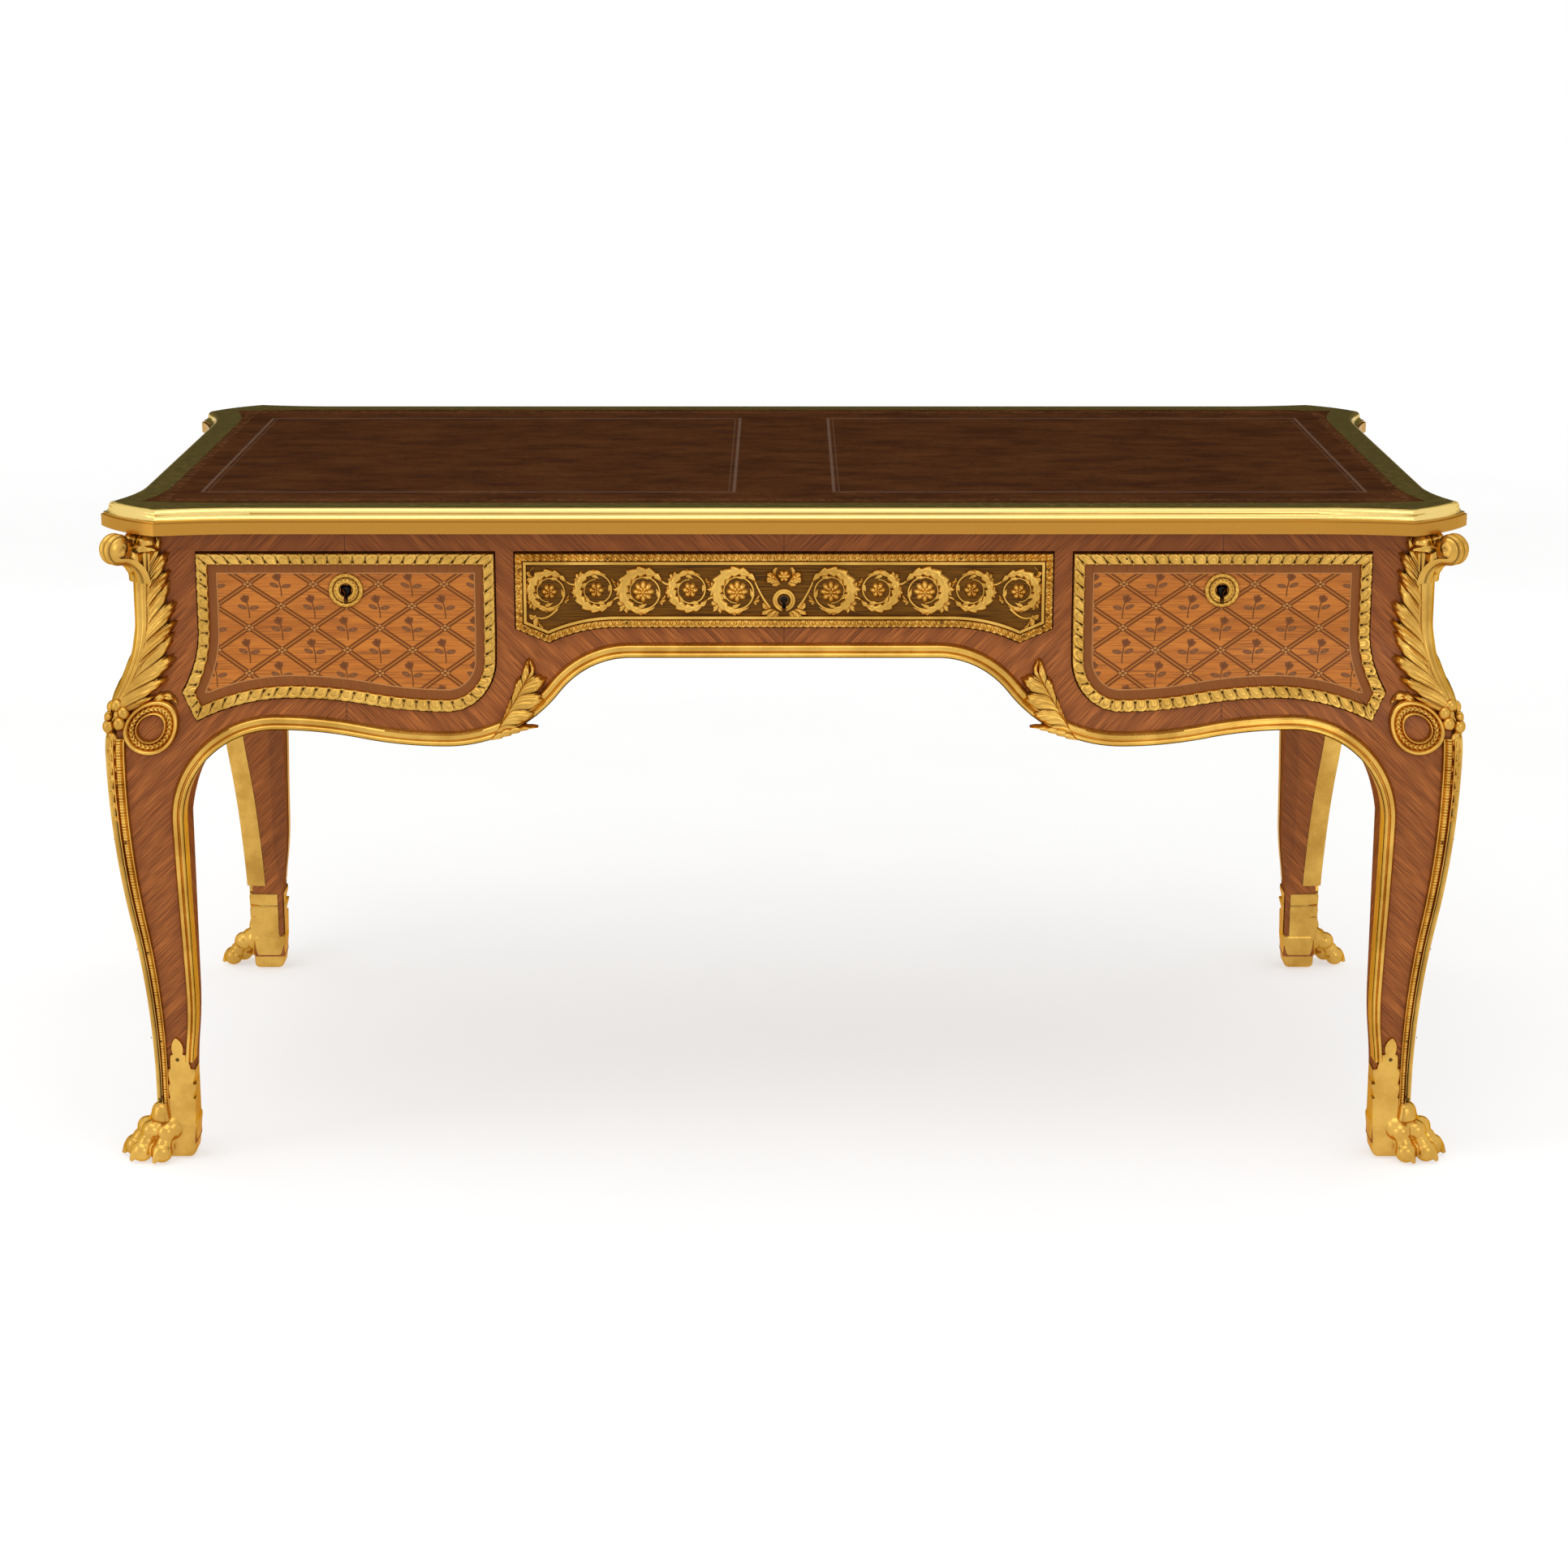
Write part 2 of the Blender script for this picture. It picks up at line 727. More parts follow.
def grain_group():
    """Fine streaks along the grain and slow changes of tone, from runs across and along the grain."""
    number = "NodeSocketFloat"
    graph, source, target = new_group("wood grain", {"Across": number, "Along": number},
                                      {"Streak": number, "Tone": number})
    fine = graph.vector(graph.times(source["Across"], 900.0),
                        graph.times(source["Along"], 16.0), 0.0)
    slow = graph.vector(graph.times(source["Across"], 60.0),
                        graph.times(source["Along"], 5.0), 3.0)
    graph.feed(target["Streak"], graph.noise(fine, 1.0, 2.0, 0.6))
    graph.feed(target["Tone"], graph.noise(slow, 1.0, 3.0, 0.6))


def tarnish_group():
    """Patches of duller metal, from cloudy noise at two sizes."""
    number = "NodeSocketFloat"
    graph, source, target = new_group("tarnish", {"Scale": number}, {"Patch": number, "Speck": number})
    where = graph.where()
    graph.feed(target["Patch"], graph.noise(where, source["Scale"], 4.0, 0.6))
    graph.feed(target["Speck"], graph.noise(where, graph.times(source["Scale"], 14.0), 2.0, 0.6))


def gilt_bronze():
    """Warm gilding with duller patches, dark where the cast relief is hollow."""
    graph = new_material("gilt bronze")
    tarnish = graph.group("tarnish", {"Scale": 22.0})
    cavity = graph.node("ShaderNodeAttribute", attribute_name="cavity").outputs["Fac"]
    hollow = graph.math("POWER", cavity, 1.6)
    patch = graph.below(tarnish["Patch"], 0.5, 0.2)
    gold = graph.mix(patch, colour(0.74, 0.44, 0.095), colour(0.52, 0.28, 0.05))
    shade = graph.mix(graph.times(hollow, 0.94), gold, colour(0.07, 0.03, 0.010))
    rough = graph.plus(graph.times(tarnish["Speck"], 0.2), graph.times(hollow, 0.35))
    graph.surface({"Base Color": shade, "Metallic": 0.96, "Roughness": graph.plus(rough, 0.16),
                   "Specular Tint": colour(0.85, 0.50, 0.11)}, tarnish["Speck"], 0.12, 0.0003)


def polished_brass():
    """Brass of the edge of the top, rubbed bright on its moulding and duller on the border and the fascia."""
    graph = new_material("polished brass")
    tarnish = graph.group("tarnish", {"Scale": 6.0})
    patch = graph.below(tarnish["Patch"], 0.5, 0.12)
    tone = graph.mix(patch, colour(0.70, 0.48, 0.13), colour(0.48, 0.31, 0.075))
    normal = graph.parts("Normal")
    moulding = graph.below(graph.absolute(graph.minus(normal[2], 0.55)), 0.36, 0.06)
    tone = graph.mix(moulding, tone, colour(0.86, 0.64, 0.22))
    tone = graph.mix(graph.below(normal[2], 0.96, 0.02), colour(0.44, 0.31, 0.10), tone)
    tone = graph.mix(graph.below(normal[2], 0.10, 0.06), tone, colour(0.47, 0.225, 0.036))
    rough = graph.plus(graph.times(tarnish["Speck"], 0.22), 0.12)
    graph.surface({"Base Color": tone, "Metallic": 1.0, "Roughness": rough,
                   "Specular Tint": colour(0.92, 0.80, 0.55)}, tarnish["Speck"], 0.05, 0.0002)


def facing_run(graph, place):
    """Distance along the face, for boards that face the front or a side."""
    normal = graph.parts("Normal")
    sideways = graph.math("GREATER_THAN", graph.absolute(normal[0]), 0.72)
    across = graph.minus(1.0, sideways)
    return graph.plus(graph.times(place[0], across), graph.times(place[1], sideways))


def veneer():
    """Reddish veneer laid as chevrons that meet at drawer middles and the centre, darker under the top."""
    graph = new_material("chevron veneer")
    place = graph.parts()
    run = graph.absolute(facing_run(graph, place))
    fold = graph.absolute(graph.minus(run, SIDE_MIDDLE))
    across = graph.plus(place[2], fold)
    along = graph.minus(place[2], fold)
    grain = graph.group("wood grain", {"Across": across, "Along": along})
    slow = graph.below(grain["Tone"], 0.5, 0.2)
    warm = graph.mix(slow, colour(0.43, 0.135, 0.030), colour(0.27, 0.078, 0.018))
    streaked = graph.mix(graph.times(graph.below(grain["Streak"], 0.5, 0.12), 0.85), warm,
                         colour(0.13, 0.036, 0.009))
    under_top = graph.below(graph.minus(FRIEZE_TOP, place[2]), 0.06, 0.06)
    streaked = graph.mix(graph.times(under_top, 0.30), streaked, colour(0.10, 0.022, 0.003))
    seam = graph.math("MAXIMUM", *(graph.below(off, SEAM_LINE, 0.0004) for off in (fold, run)))
    shade = graph.mix(graph.times(seam, 0.7), streaked, colour(0.03, 0.012, 0.008))
    rough = graph.plus(graph.times(grain["Streak"], 0.15), 0.25)
    graph.surface({"Base Color": shade, "Roughness": rough, "Specular IOR Level": graph.gloss(WAX_GLOSS)},
                  grain["Streak"], 0.05, 0.0002)


def cross_banding():
    """Dark border veneer, its grain running across the border."""
    graph = new_material("cross banding")
    place = graph.parts()
    grain = graph.group("wood grain", {"Across": graph.plus(place[0], place[1]), "Along": place[2]})
    shade = graph.mix(grain["Streak"], colour(0.12, 0.036, 0.006), colour(0.29, 0.092, 0.018))
    graph.surface({"Base Color": shade, "Roughness": 0.3, "Specular IOR Level": graph.gloss(WAX_GLOSS)})


def stringing():
    """Thin light line between the border and the field."""
    graph = new_material("stringing")
    place = graph.parts()
    grain = graph.group("wood grain", {"Across": place[2], "Along": graph.plus(place[0], place[1])})
    shade = graph.mix(grain["Streak"], colour(0.30, 0.12, 0.035), colour(0.50, 0.22, 0.07))
    graph.surface({"Base Color": shade, "Roughness": 0.35, "Specular IOR Level": graph.gloss(WAX_GLOSS)})


def marquetry():
    """Golden ground under a trellis of inlaid lines, with a sprig in every diamond."""
    looks = bpy.context.scene.table_looks
    graph = new_material("marquetry")
    place = graph.parts()
    run = graph.minus(graph.absolute(facing_run(graph, place)), SIDE_MIDDLE)
    rise = graph.minus(place[2], looks.trellis_origin)
    grain = graph.group("wood grain", {"Across": place[2], "Along": run})
    slow = graph.below(grain["Tone"], 0.5, 0.2)
    ground = graph.mix(slow, colour(0.53, 0.175, 0.026), colour(0.40, 0.120, 0.017))
    ground = graph.mix(graph.times(graph.below(grain["Streak"], 0.44, 0.1), 0.7), ground,
                       colour(0.17, 0.05, 0.014))
    first = graph.math("DIVIDE", run, looks.trellis_width)
    second = graph.math("DIVIDE", rise, looks.trellis_height)
    lines = [graph.plus(first, second), graph.minus(first, second)]
    spacing = 1 / math.hypot(1 / looks.trellis_width, 1 / looks.trellis_height)
    gaps = []
    for line in lines:
        off = graph.absolute(graph.minus(line, graph.math("ROUND", line)))
        gaps.append(graph.times(off, spacing))
    near = graph.math("MINIMUM", *gaps)
    shade = graph.mix(graph.below(near, TRELLIS_LINE, 0.0004), ground, colour(0.15, 0.042, 0.006))
    shade = graph.mix(graph.below(near, TRELLIS_CORE, 0.0003), shade, colour(0.42, 0.145, 0.022))
    crossing = graph.math("MAXIMUM", *gaps)
    shade = graph.mix(graph.below(crossing, CROSSING, 0.0003), shade, colour(0.09, 0.026, 0.006))
    quarter = graph.absolute(graph.minus(crossing, 0.0019))
    lights = graph.times(graph.below(quarter, 0.0012, 0.0003),
                        graph.minus(1.0, graph.below(near, 0.0005, 0.0002)))
    shade = graph.mix(graph.times(lights, graph.below(crossing, 0.0032, 0.0003)), shade,
                      colour(0.46, 0.19, 0.045))
    shade = sprig(graph, lines, shade, looks)
    graph.surface({"Base Color": shade, "Roughness": 0.32, "Specular IOR Level": graph.gloss(WAX_GLOSS)},
                  grain["Streak"], 0.04, 0.0002)


def sprig(graph, lines, under, looks):
    """A rose on a bent stem with a pair of leaves, in the middle of each diamond of the trellis."""
    halves = []
    for line in lines:
        halves.append(graph.minus(graph.math("FRACT", line), 0.5))
    u = graph.times(graph.plus(*halves), looks.trellis_width / 2)
    v = graph.times(graph.minus(*halves), looks.trellis_height / 2)

    def oval(at, size, lean):
        """Distance from the middle of a leaning oval, one on its edge."""
        du = graph.minus(u, at[0])
        dv = graph.minus(v, at[1])
        cosine, sine = math.cos(math.radians(lean)), math.sin(math.radians(lean))
        along = graph.plus(graph.times(du, cosine / size[0]),
                           graph.times(dv, sine / size[0]))
        across = graph.minus(graph.times(dv, cosine / size[1]),
                            graph.times(du, sine / size[1]))
        squares = [graph.math("POWER", reach, 2.0) for reach in (along, across)]
        return graph.math("SQRT", graph.plus(*squares))

    arch = graph.times(graph.math("POWER", graph.plus(v, 0.014), 2.0), 8.0)
    bend = graph.minus(u, arch)
    thin = graph.below(graph.absolute(graph.plus(bend, 0.001)), 0.0007, 0.0003)
    short = graph.below(graph.absolute(graph.plus(v, 0.004)), 0.0105, 0.0006)
    shade = graph.mix(graph.times(thin, short), under, colour(0.12, 0.040, 0.008))
    for at, lean in (((-0.0066, -0.0022), 170), ((0.0070, -0.0012), 22)):
        far = oval(at, (0.0056, 0.0025), lean)
        shade = graph.mix(graph.below(far, 1.0, 0.12), shade, colour(0.17, 0.062, 0.020))
        shade = graph.mix(graph.times(graph.below(far, 0.35, 0.3), 0.5), shade, colour(0.30, 0.11, 0.03))
    petals = (((0.0018, 0.0078), (0.0046, 0.0025), 112),
              ((0.0048, 0.0068), (0.0050, 0.0024), 34),
              ((0.0036, 0.0082), (0.0050, 0.0030), 72))
    for at, size, lean in petals:
        far = oval(at, size, lean)
        shade = graph.mix(graph.below(far, 1.0, 0.1), shade, colour(0.14, 0.042, 0.009))
        rim = graph.below(graph.absolute(graph.minus(far, 0.80)), 0.10, 0.08)
        shade = graph.mix(graph.times(rim, 0.45), shade, colour(0.26, 0.09, 0.03))
    return shade


def centre_ground():
    """Smooth olive brown veneer behind the scrolls of the centre drawer."""
    graph = new_material("centre ground")
    place = graph.parts()
    grain = graph.group("wood grain", {"Across": place[2], "Along": place[0]})
    shade = graph.mix(grain["Tone"], colour(0.105, 0.040, 0.003), colour(0.18, 0.070, 0.006))
    shade = graph.mix(graph.below(grain["Streak"], 0.45, 0.12), shade, colour(0.042, 0.017, 0.004))
    graph.surface({"Base Color": shade, "Roughness": 0.4, "Specular IOR Level": graph.gloss(0.06)})


def leather():
    """Worn brown hide with two tooled rectangles and a speckled tooled band along its edge."""
    graph = new_material("tooled leather")
    place = graph.parts()
    where = graph.where()
    cloud = graph.noise(graph.vector(place[0], graph.times(place[1], 2.2), 0.0), 9.0, 7.0, 0.72)
    speck = graph.noise(where, 160.0, 3.0, 0.7)
    pores = graph.node("ShaderNodeTexVoronoi", {"Vector": where, "Scale": 420.0}).outputs["Distance"]
    hide = graph.mix(graph.below(cloud, 0.5, 0.22), colour(0.078, 0.028, 0.009), colour(0.036, 0.012, 0.005))
    hide = graph.mix(graph.times(graph.below(speck, 0.40, 0.1), 0.5), hide, colour(0.022, 0.010, 0.006))
    run = graph.absolute(place[0])
    depth = graph.absolute(place[1])
    middle = graph.absolute(graph.minus(run, LEATHER_X / 2))
    outside = graph.math("MAXIMUM", graph.minus(middle, TOOLED_HALF_X), graph.minus(depth, TOOLED_HALF_Y))
    line = graph.below(graph.absolute(outside), 0.0016, 0.0014)
    double = graph.below(graph.absolute(graph.plus(outside, 0.006)), 0.0007, 0.0005)
    tooled = graph.times(graph.math("MAXIMUM", line, graph.times(double, 0.5)),
                        graph.plus(0.25, speck))
    shade = graph.mix(tooled, hide, colour(0.13, 0.080, 0.055))
    edge = graph.math("MAXIMUM", graph.minus(run, LEATHER_X - TOOLED_INSET),
                      graph.minus(depth, LEATHER_Y - TOOLED_INSET))
    band = graph.below(graph.absolute(graph.minus(edge, -0.010)), 0.007, 0.001)
    worn = graph.times(band, graph.below(speck, 0.47, 0.06))
    shade = graph.mix(graph.times(worn, 0.28), shade, colour(0.20, 0.09, 0.035))
    rough = graph.plus(graph.times(cloud, 0.3), 0.28)
    relief = graph.minus(graph.plus(pores, speck), graph.times(tooled, 1.5))
    graph.surface({"Base Color": shade, "Roughness": rough, "Specular IOR Level": graph.gloss(0.3)},
                  relief, 0.25, 0.0004)


def oak():
    """Plain wood of the inside, along the depth of the table."""
    graph = new_material("bare oak")
    place = graph.parts()
    grain = graph.group("wood grain", {"Across": graph.plus(place[0], place[2]), "Along": place[1]})
    shade = graph.mix(grain["Streak"], colour(0.22, 0.12, 0.055), colour(0.46, 0.29, 0.15))
    graph.surface({"Base Color": shade, "Roughness": 0.62}, grain["Streak"], 0.1, 0.0003)


def lock_steel():
    graph = new_material("lock steel")
    tarnish = graph.group("tarnish", {"Scale": 40.0})
    shade = graph.mix(tarnish["Patch"], colour(0.035, 0.033, 0.032), colour(0.12, 0.11, 0.10))
    graph.surface({"Base Color": shade, "Metallic": 1.0, "Roughness": 0.5}, tarnish["Speck"], 0.1, 0.0002)


def paint_solids():
    """Gives every solid that stays in view its finish."""
    finishes = {"veneer": "chevron veneer", "oak": "bare oak", "leather": "tooled leather",
                "polished_brass": "polished brass", "gilt_bronze": "gilt bronze", "lock_steel": "lock steel"}
    for row in frame["record"]["subparts"]:
        node = frame["nodes"][row["node"]]
        node.data.materials.clear()
        node.data.materials.append(bpy.data.materials[finishes[row["material_slot"]]])


# Carved relief

def leaf_tip_relief(pitch):
    """Relief of a frame: fluted leaves with round heads at the outer edge and drilled darts between them."""
    def relief(run, share):
        beside = abs((run / pitch) % 1.0 - 0.5) * 2
        if share in (0.0, 1.0):
            return 0.0, 0.3
        if share > 0.90:
            return FRAME_RISE * 0.72, 0.0
        head = min(share / 0.36, 1.0)
        half = 0.93 * math.sqrt(1 - (1 - head) ** 2) - 0.14 * max(0.0, share - 0.36) / 0.64
        edge = math.exp(-((beside - half) / 0.10) ** 2)
        if beside < half:
            inner = math.hypot(beside / 0.56, max(0.0, 0.66 - share) / 0.36)
            fold = math.exp(-((inner - 1) / 0.20) ** 2)
            vein = math.exp(-(beside / 0.13) ** 2) * share
            height = 0.80 + 0.16 * math.sqrt(1 - (beside / half) ** 2) - 0.10 * fold - 0.06 * vein
            return FRAME_RISE * height, min(1.0, edge + 0.55 * fold + 0.4 * vein)
        if share < 0.24:
            return FRAME_RISE * 0.72, 0.40
        eye = math.hypot((1 - beside) * pitch / 2, (share - 0.72) * FRAME_WIDTH)
        drilled = math.exp(-(eye / 0.0012) ** 2)
        return FRAME_RISE * (0.72 - 0.3 * drilled), min(1.0, edge + drilled)

    return relief


def tongue_relief(pitch):
    """Relief of the centre frame: a row of loops with a seed in each, outside a plain bright roll."""
    def relief(run, share):
        if share == 0.0:
            return 0.0, 0.3
        if share > 0.66:
            height = min(0.75, rolls(share, (0.66, 1.0, 1.1)))
            return FRAME_RISE * height, max(0.0, 0.5 - height)
        beside = abs((run / pitch) % 1.0 - 0.5) * 2
        along = share / 0.66
        far = math.hypot(beside / 0.82, (along - 0.52) / 0.62)
        loop = math.exp(-((far - 0.84) / 0.26) ** 2)
        seed = math.exp(-(far / 0.34) ** 2)
        dart = math.exp(-((1 - beside) / 0.20) ** 2) * along
        height = max(loop, seed, dart)
        return FRAME_RISE * (0.55 + 0.35 * height), 0.85 * (1 - height) ** 2.4

    return relief


def fitted(length, pitch):
    """A pitch close to the wanted one that fits a closed line a whole number of times."""
    return length / round(length / pitch)


def line_length(points):
    return sum((points[i] - points[i - 1]).length for i in range(len(points)))


def frame_mesh(points, relief_of, pitch, place):
    """A cast frame along the edge of a front, held by screws."""
    bm = new_mesh()
    relief = relief_of(fitted(line_length(points), pitch))
    ribbon(bm, finer(points), FRAME_WIDTH, 18, relief, place, closed=True)
    for stretch in stretches(points, True):
        for index in (len(stretch.points) // 6, len(stretch.points) * 5 // 6):
            screw(bm, place, stretch.beside(index, FRAME_WIDTH * 0.42), FRAME_RISE * 0.95)
    return bm


def finer(points):
    """A closed line with a point added in the middle of every step."""
    added = []
    for i, point in enumerate(points):
        added += [point, (point + points[(i + 1) % len(points)]) / 2]
    return added


def inset_points(points, distance):
    """A closed line moved inwards, to its right, with mitred corners."""
    moved = []
    for stretch in stretches(points, True):
        moved += [stretch.beside(i, distance) for i in range(len(stretch.points) - 1)]
    return moved


def flat_relief(height):
    return lambda run, share: (height, 0.0)


def panel_mesh(points, place, keyhole):
    """A thin sheet inside an outline, laid on a face, with a gap behind the keyhole."""
    bm = new_mesh()
    made = bmesh.ops.create_circle(bm, cap_ends=True, segments=len(points), radius=1.0)
    verts = sorted(made["verts"], key=lambda vert: math.atan2(vert.co.y, vert.co.x))
    for vert, point in zip(verts, reversed(points)):
        vert.co = Vector((point.x, point.y, 0))
    bmesh.ops.triangulate(bm, faces=bm.faces)
    foot = min(point.y for point in points)
    heights = [foot + SHEET_STEP * i for i in range(1, 16)]
    level, upright = (0, 1, 0), (1, 0, 0)
    cuts = [((0, z, 0), level) for z in heights if z < SWELL_START + 0.01]
    if keyhole:
        left, right = keyhole[0] - KEY_GAP_HALF, keyhole[0] + KEY_GAP_HALF
        low, high = keyhole[1] - KEY_GAP_DOWN, keyhole[1] + KEY_GAP_UP
        cuts += [((u, 0, 0), upright) for u in (left, right)]
        cuts += [((0, z, 0), level) for z in (low, high)]
    for spot, normal in cuts:
        whole = bm.verts[:] + bm.edges[:] + bm.faces[:]
        bmesh.ops.bisect_plane(bm, geom=whole, plane_co=spot, plane_no=normal)
    if keyhole:
        middles = {face: face.calc_center_median() for face in bm.faces}
        gap = [face for face, at in middles.items() if left < at.x < right and low < at.y < high]
        bmesh.ops.delete(bm, geom=gap, context="FACES")
    bmesh.ops.dissolve_degenerate(bm, dist=1e-5, edges=bm.edges)
    for vert in bm.verts:
        vert.co = place(vert.co.x, vert.co.y, SHEET_RISE)
    middle = points[0]
    outward = place(middle.x, middle.y, 0.01) - place(middle.x, middle.y, 0)
    bm.normal_update()
    if sum(face.normal.dot(outward) for face in bm.faces) < 0:
        bmesh.ops.reverse_faces(bm, faces=bm.faces)
    return bm


def dress_panel(name, points, side, body, field, keyhole=None):
    """Border veneer, light stringing and the field inside one frame."""
    place = on_side(side)
    border = new_mesh()
    outer = inset_points(points, FRAME_WIDTH - FRAME_LAP)
    ribbon(border, outer, BANDING_WIDTH, 1, flat_relief(0.0007), place, True)
    piece(name + "_banding", border, "cross banding", body)
    line = new_mesh()
    inner = inset_points(points, FRAME_WIDTH + BANDING_WIDTH - FRAME_LAP)
    ribbon(line, inner, STRINGING_WIDTH, 1, flat_relief(0.0008), place, True)
    piece(name + "_stringing", line, "stringing", body)
    piece(name + "_field", panel_mesh(inner, place, keyhole), field, body)


def joint_veneer(place):
    """Veneer laid over the joints between the top rail and the legs, beside the outer drawers."""
    bm = new_mesh()
    length, width = 0.024, 0.010
    outer = HALF_WIDTH - STILE + 0.0005
    for start in (-outer - length, outer):
        line = [Vector((start + length * step / 2, DRAWER_TOP + width / 2)) for step in range(3)]
        ribbon(bm, line, width, 1, flat_relief(SHEET_RISE), place)
    return bm


def keyhole_reach(angle):
    """Distance from the middle of a keyhole to its edge: a round eye over a slot."""
    down = (angle + math.pi / 2 + math.pi) % (2 * math.pi) - math.pi
    if abs(down) < math.atan2(KEY_SLOT_HALF, KEY_SLOT):
        return KEY_SLOT / math.cos(down)
    if abs(down) < math.asin(KEY_SLOT_HALF / KEY_RADIUS):
        return max(KEY_RADIUS, KEY_SLOT_HALF / abs(math.sin(down)))
    return KEY_RADIUS


def escutcheon_mesh(u, z, place):
    """Round plate with a wreath of leaves, a plain dished ring and a rim round the keyhole."""
    bm = new_mesh()
    columns, rows = 192, 26
    outer, rise = 0.0205, 0.0045

    def spot(column, row):
        angle = 2 * math.pi * column / columns
        inside = keyhole_reach(angle)
        beat = 0.5 + 0.5 * math.cos(16 * angle)
        reach = inside + (outer * (0.965 + 0.035 * beat) - inside) * row / rows
        ring = reach / outer
        height = rolls(ring, (0.34, 0.62, 0.80), (0.58, 0.72, 0.62), (0.70, 1.0, 0.85 + 0.15 * beat))
        dark = max(0.0, 0.75 - 1.3 * height)
        eye = math.exp(-((ring - 0.685) / 0.03) ** 2)
        if ring < 0.35 or reach < 1.25 * inside:
            dark = 1.0
        wreath = 0.6 * (1 - beat) ** 2 * math.exp(-((ring - 0.88) / 0.07) ** 2)
        shade = min(1.0, dark + eye + wreath)
        return u + reach * math.cos(angle), z + reach * math.sin(angle), rise * height, shade

    round_grid(bm, columns, rows, spot, place)
    return bm


def rinceaux_mesh(place):
    """Waving stem with an acanthus scroll in each wave, both ways from the leaves round the keyhole."""
    bm = new_mesh()
    # Rise, spine and tips of the leaves at the ends and round the keyhole
    leaves = (
        (0.0040, ((0.284, 0.661), (0.280, 0.653)), ((0.292, 0.656), (0.286, 0.646), (0.275, 0.643))),
        (0.0040, ((0.282, 0.700), (0.288, 0.706)), ((0.294, 0.699), (0.295, 0.710), (0.285, 0.716))),
        (0.0045, ((0.004, 0.662), (0.014, 0.667)),
         ((0.010, 0.6545), (0.020, 0.655), (0.028, 0.659), (0.026, 0.672))),
        (0.0045, ((0.003, 0.694), (0.008, 0.702)),
         ((0.014, 0.6925), (0.023, 0.698), (0.021, 0.709), (0.010, 0.716))),
    )
    for side in (-1, 1):
        across = flipped(place, side)
        tail = Vector((0.016, 0.668))
        for index in range(5):
            up = -1 if index % 2 else 1
            large = index in (0, 2)
            radius = 0.0240 if large else 0.0220
            centre = Vector((SCROLL_PITCH * (index + 1), SCROLL_HEIGHT - 0.001 * up))
            scroll_mesh(bm, across, centre, up, radius, large, tail)
            tail = centre + Vector((0.94, -0.34 * up)) * radius
        tendril = []
        for step in range(9):
            sag = 0.0012 * step + 0.006 * math.sin(math.pi * step / 8)
            tendril.append(Vector((0.258 + 0.0035 * step, 0.6668 - sag)))
        vine(bm, across, tendril, SCROLL_STEM)
        for rise, spine, tips in leaves:
            acanthus(bm, across, spine, tips, rise)
        rosette(bm, across, (0.0145, 0.702), 0.0066, 5, 0.0034, base=0.003)

    columns, rows = 96, 12
    rim = 0.0068

    def plate(column, row):
        angle = 2 * math.pi * column / columns
        inside = keyhole_reach(angle)
        reach = inside + (KEY_PLATE - inside) * row / rows
        height = rolls(reach / KEY_PLATE, (0.50, 0.80, 0.9), (0.76, 1.0, 0.7))
        dark = 1.0 if reach < max(rim, 1.2 * inside) else max(0.0, 0.6 - height)
        return reach * math.cos(angle), CENTRE_KEY + reach * math.sin(angle), 0.004 * height + 0.0004, dark

    round_grid(bm, columns, rows, plate, place)
    rosette(bm, place, (0.0, 0.7045), 0.0080, 6, 0.0036, base=0.002)
    return bm


def scroll_mesh(bm, place, centre, up, radius, large, tail):
    """One scroll: a stem from the one before, a long leaf bent round it, tendrils and a flower in its eye."""
    # Turns round the scroll in degrees, with shares of its radius and sizes
    sprouts = ((70, 1.0, 0.011), (122, 1.0, 0.016), (166, 1.0, 0.018), (212, 0.96, 0.008), (285, 0.92, 0.010))
    sprout_tips = ((2, 0.55), (16, 0.75), (30, 0.5))
    inner_leaves = ((20, 0.66), (80, 0.60), (150, 0.60), (215, 0.62), (300, 0.64))
    start = math.radians(180 - 38 * up)

    def round_scroll(run, off, out):
        angle = start - up * run / radius
        reach = radius * (1 - 0.05 * run / radius / math.pi) + off
        return place(centre.x + reach * math.cos(angle), centre.y + reach * math.sin(angle), out)

    def ring_point(degrees, reach):
        angle = start - up * math.radians(degrees)
        return centre + Vector((math.cos(angle), math.sin(angle))) * reach

    joint = ring_point(0, radius)
    bow = Vector((0, -0.003 * up))
    stem = [tail.lerp(joint, i / 12) + bow * math.sin(math.pi * i / 12) for i in range(13)]
    vine(bm, place, stem, SCROLL_STEM)
    width = 0.0178 if large else 0.0150
    leaf(bm, round_scroll, (-0.004, 0.0), 0, radius * 4.9, width, 0.0042, lobes=11, base=0.0012, widest=0.46,
         columns=120, rows=10)
    spiral = [ring_point(230 + 7.5 * i, radius * (0.86 - 0.0065 * i)) for i in range(49)]
    vine(bm, place, spiral, 0.0015, base=0.0006)
    rosette(bm, place, centre, 0.0128 if large else 0.0098, 8 if large else 6, 0.0044, base=0.0018)
    rosette(bm, place, centre, 0.0085 if large else 0.0062, 6 if large else 5, 0.0048, base=0.0034)
    for turn, reach, size in sprouts:
        if not large:
            size *= 0.75
        edge = radius * reach
        spine = (ring_point(turn, edge), ring_point(turn + 8, edge))
        tips = [ring_point(turn + lean, edge + size * far) for lean, far in sprout_tips]
        acanthus(bm, place, spine, tips, 0.0034, lift=0.0008, rows=8)
    for turn, reach in inner_leaves:
        root = ring_point(turn, radius * 0.84)
        tip = ring_point(turn + 34, radius * reach)
        lobe(bm, place, root, tip, 0.0070, 0.0032, lobes=3, columns=10, rows=6)


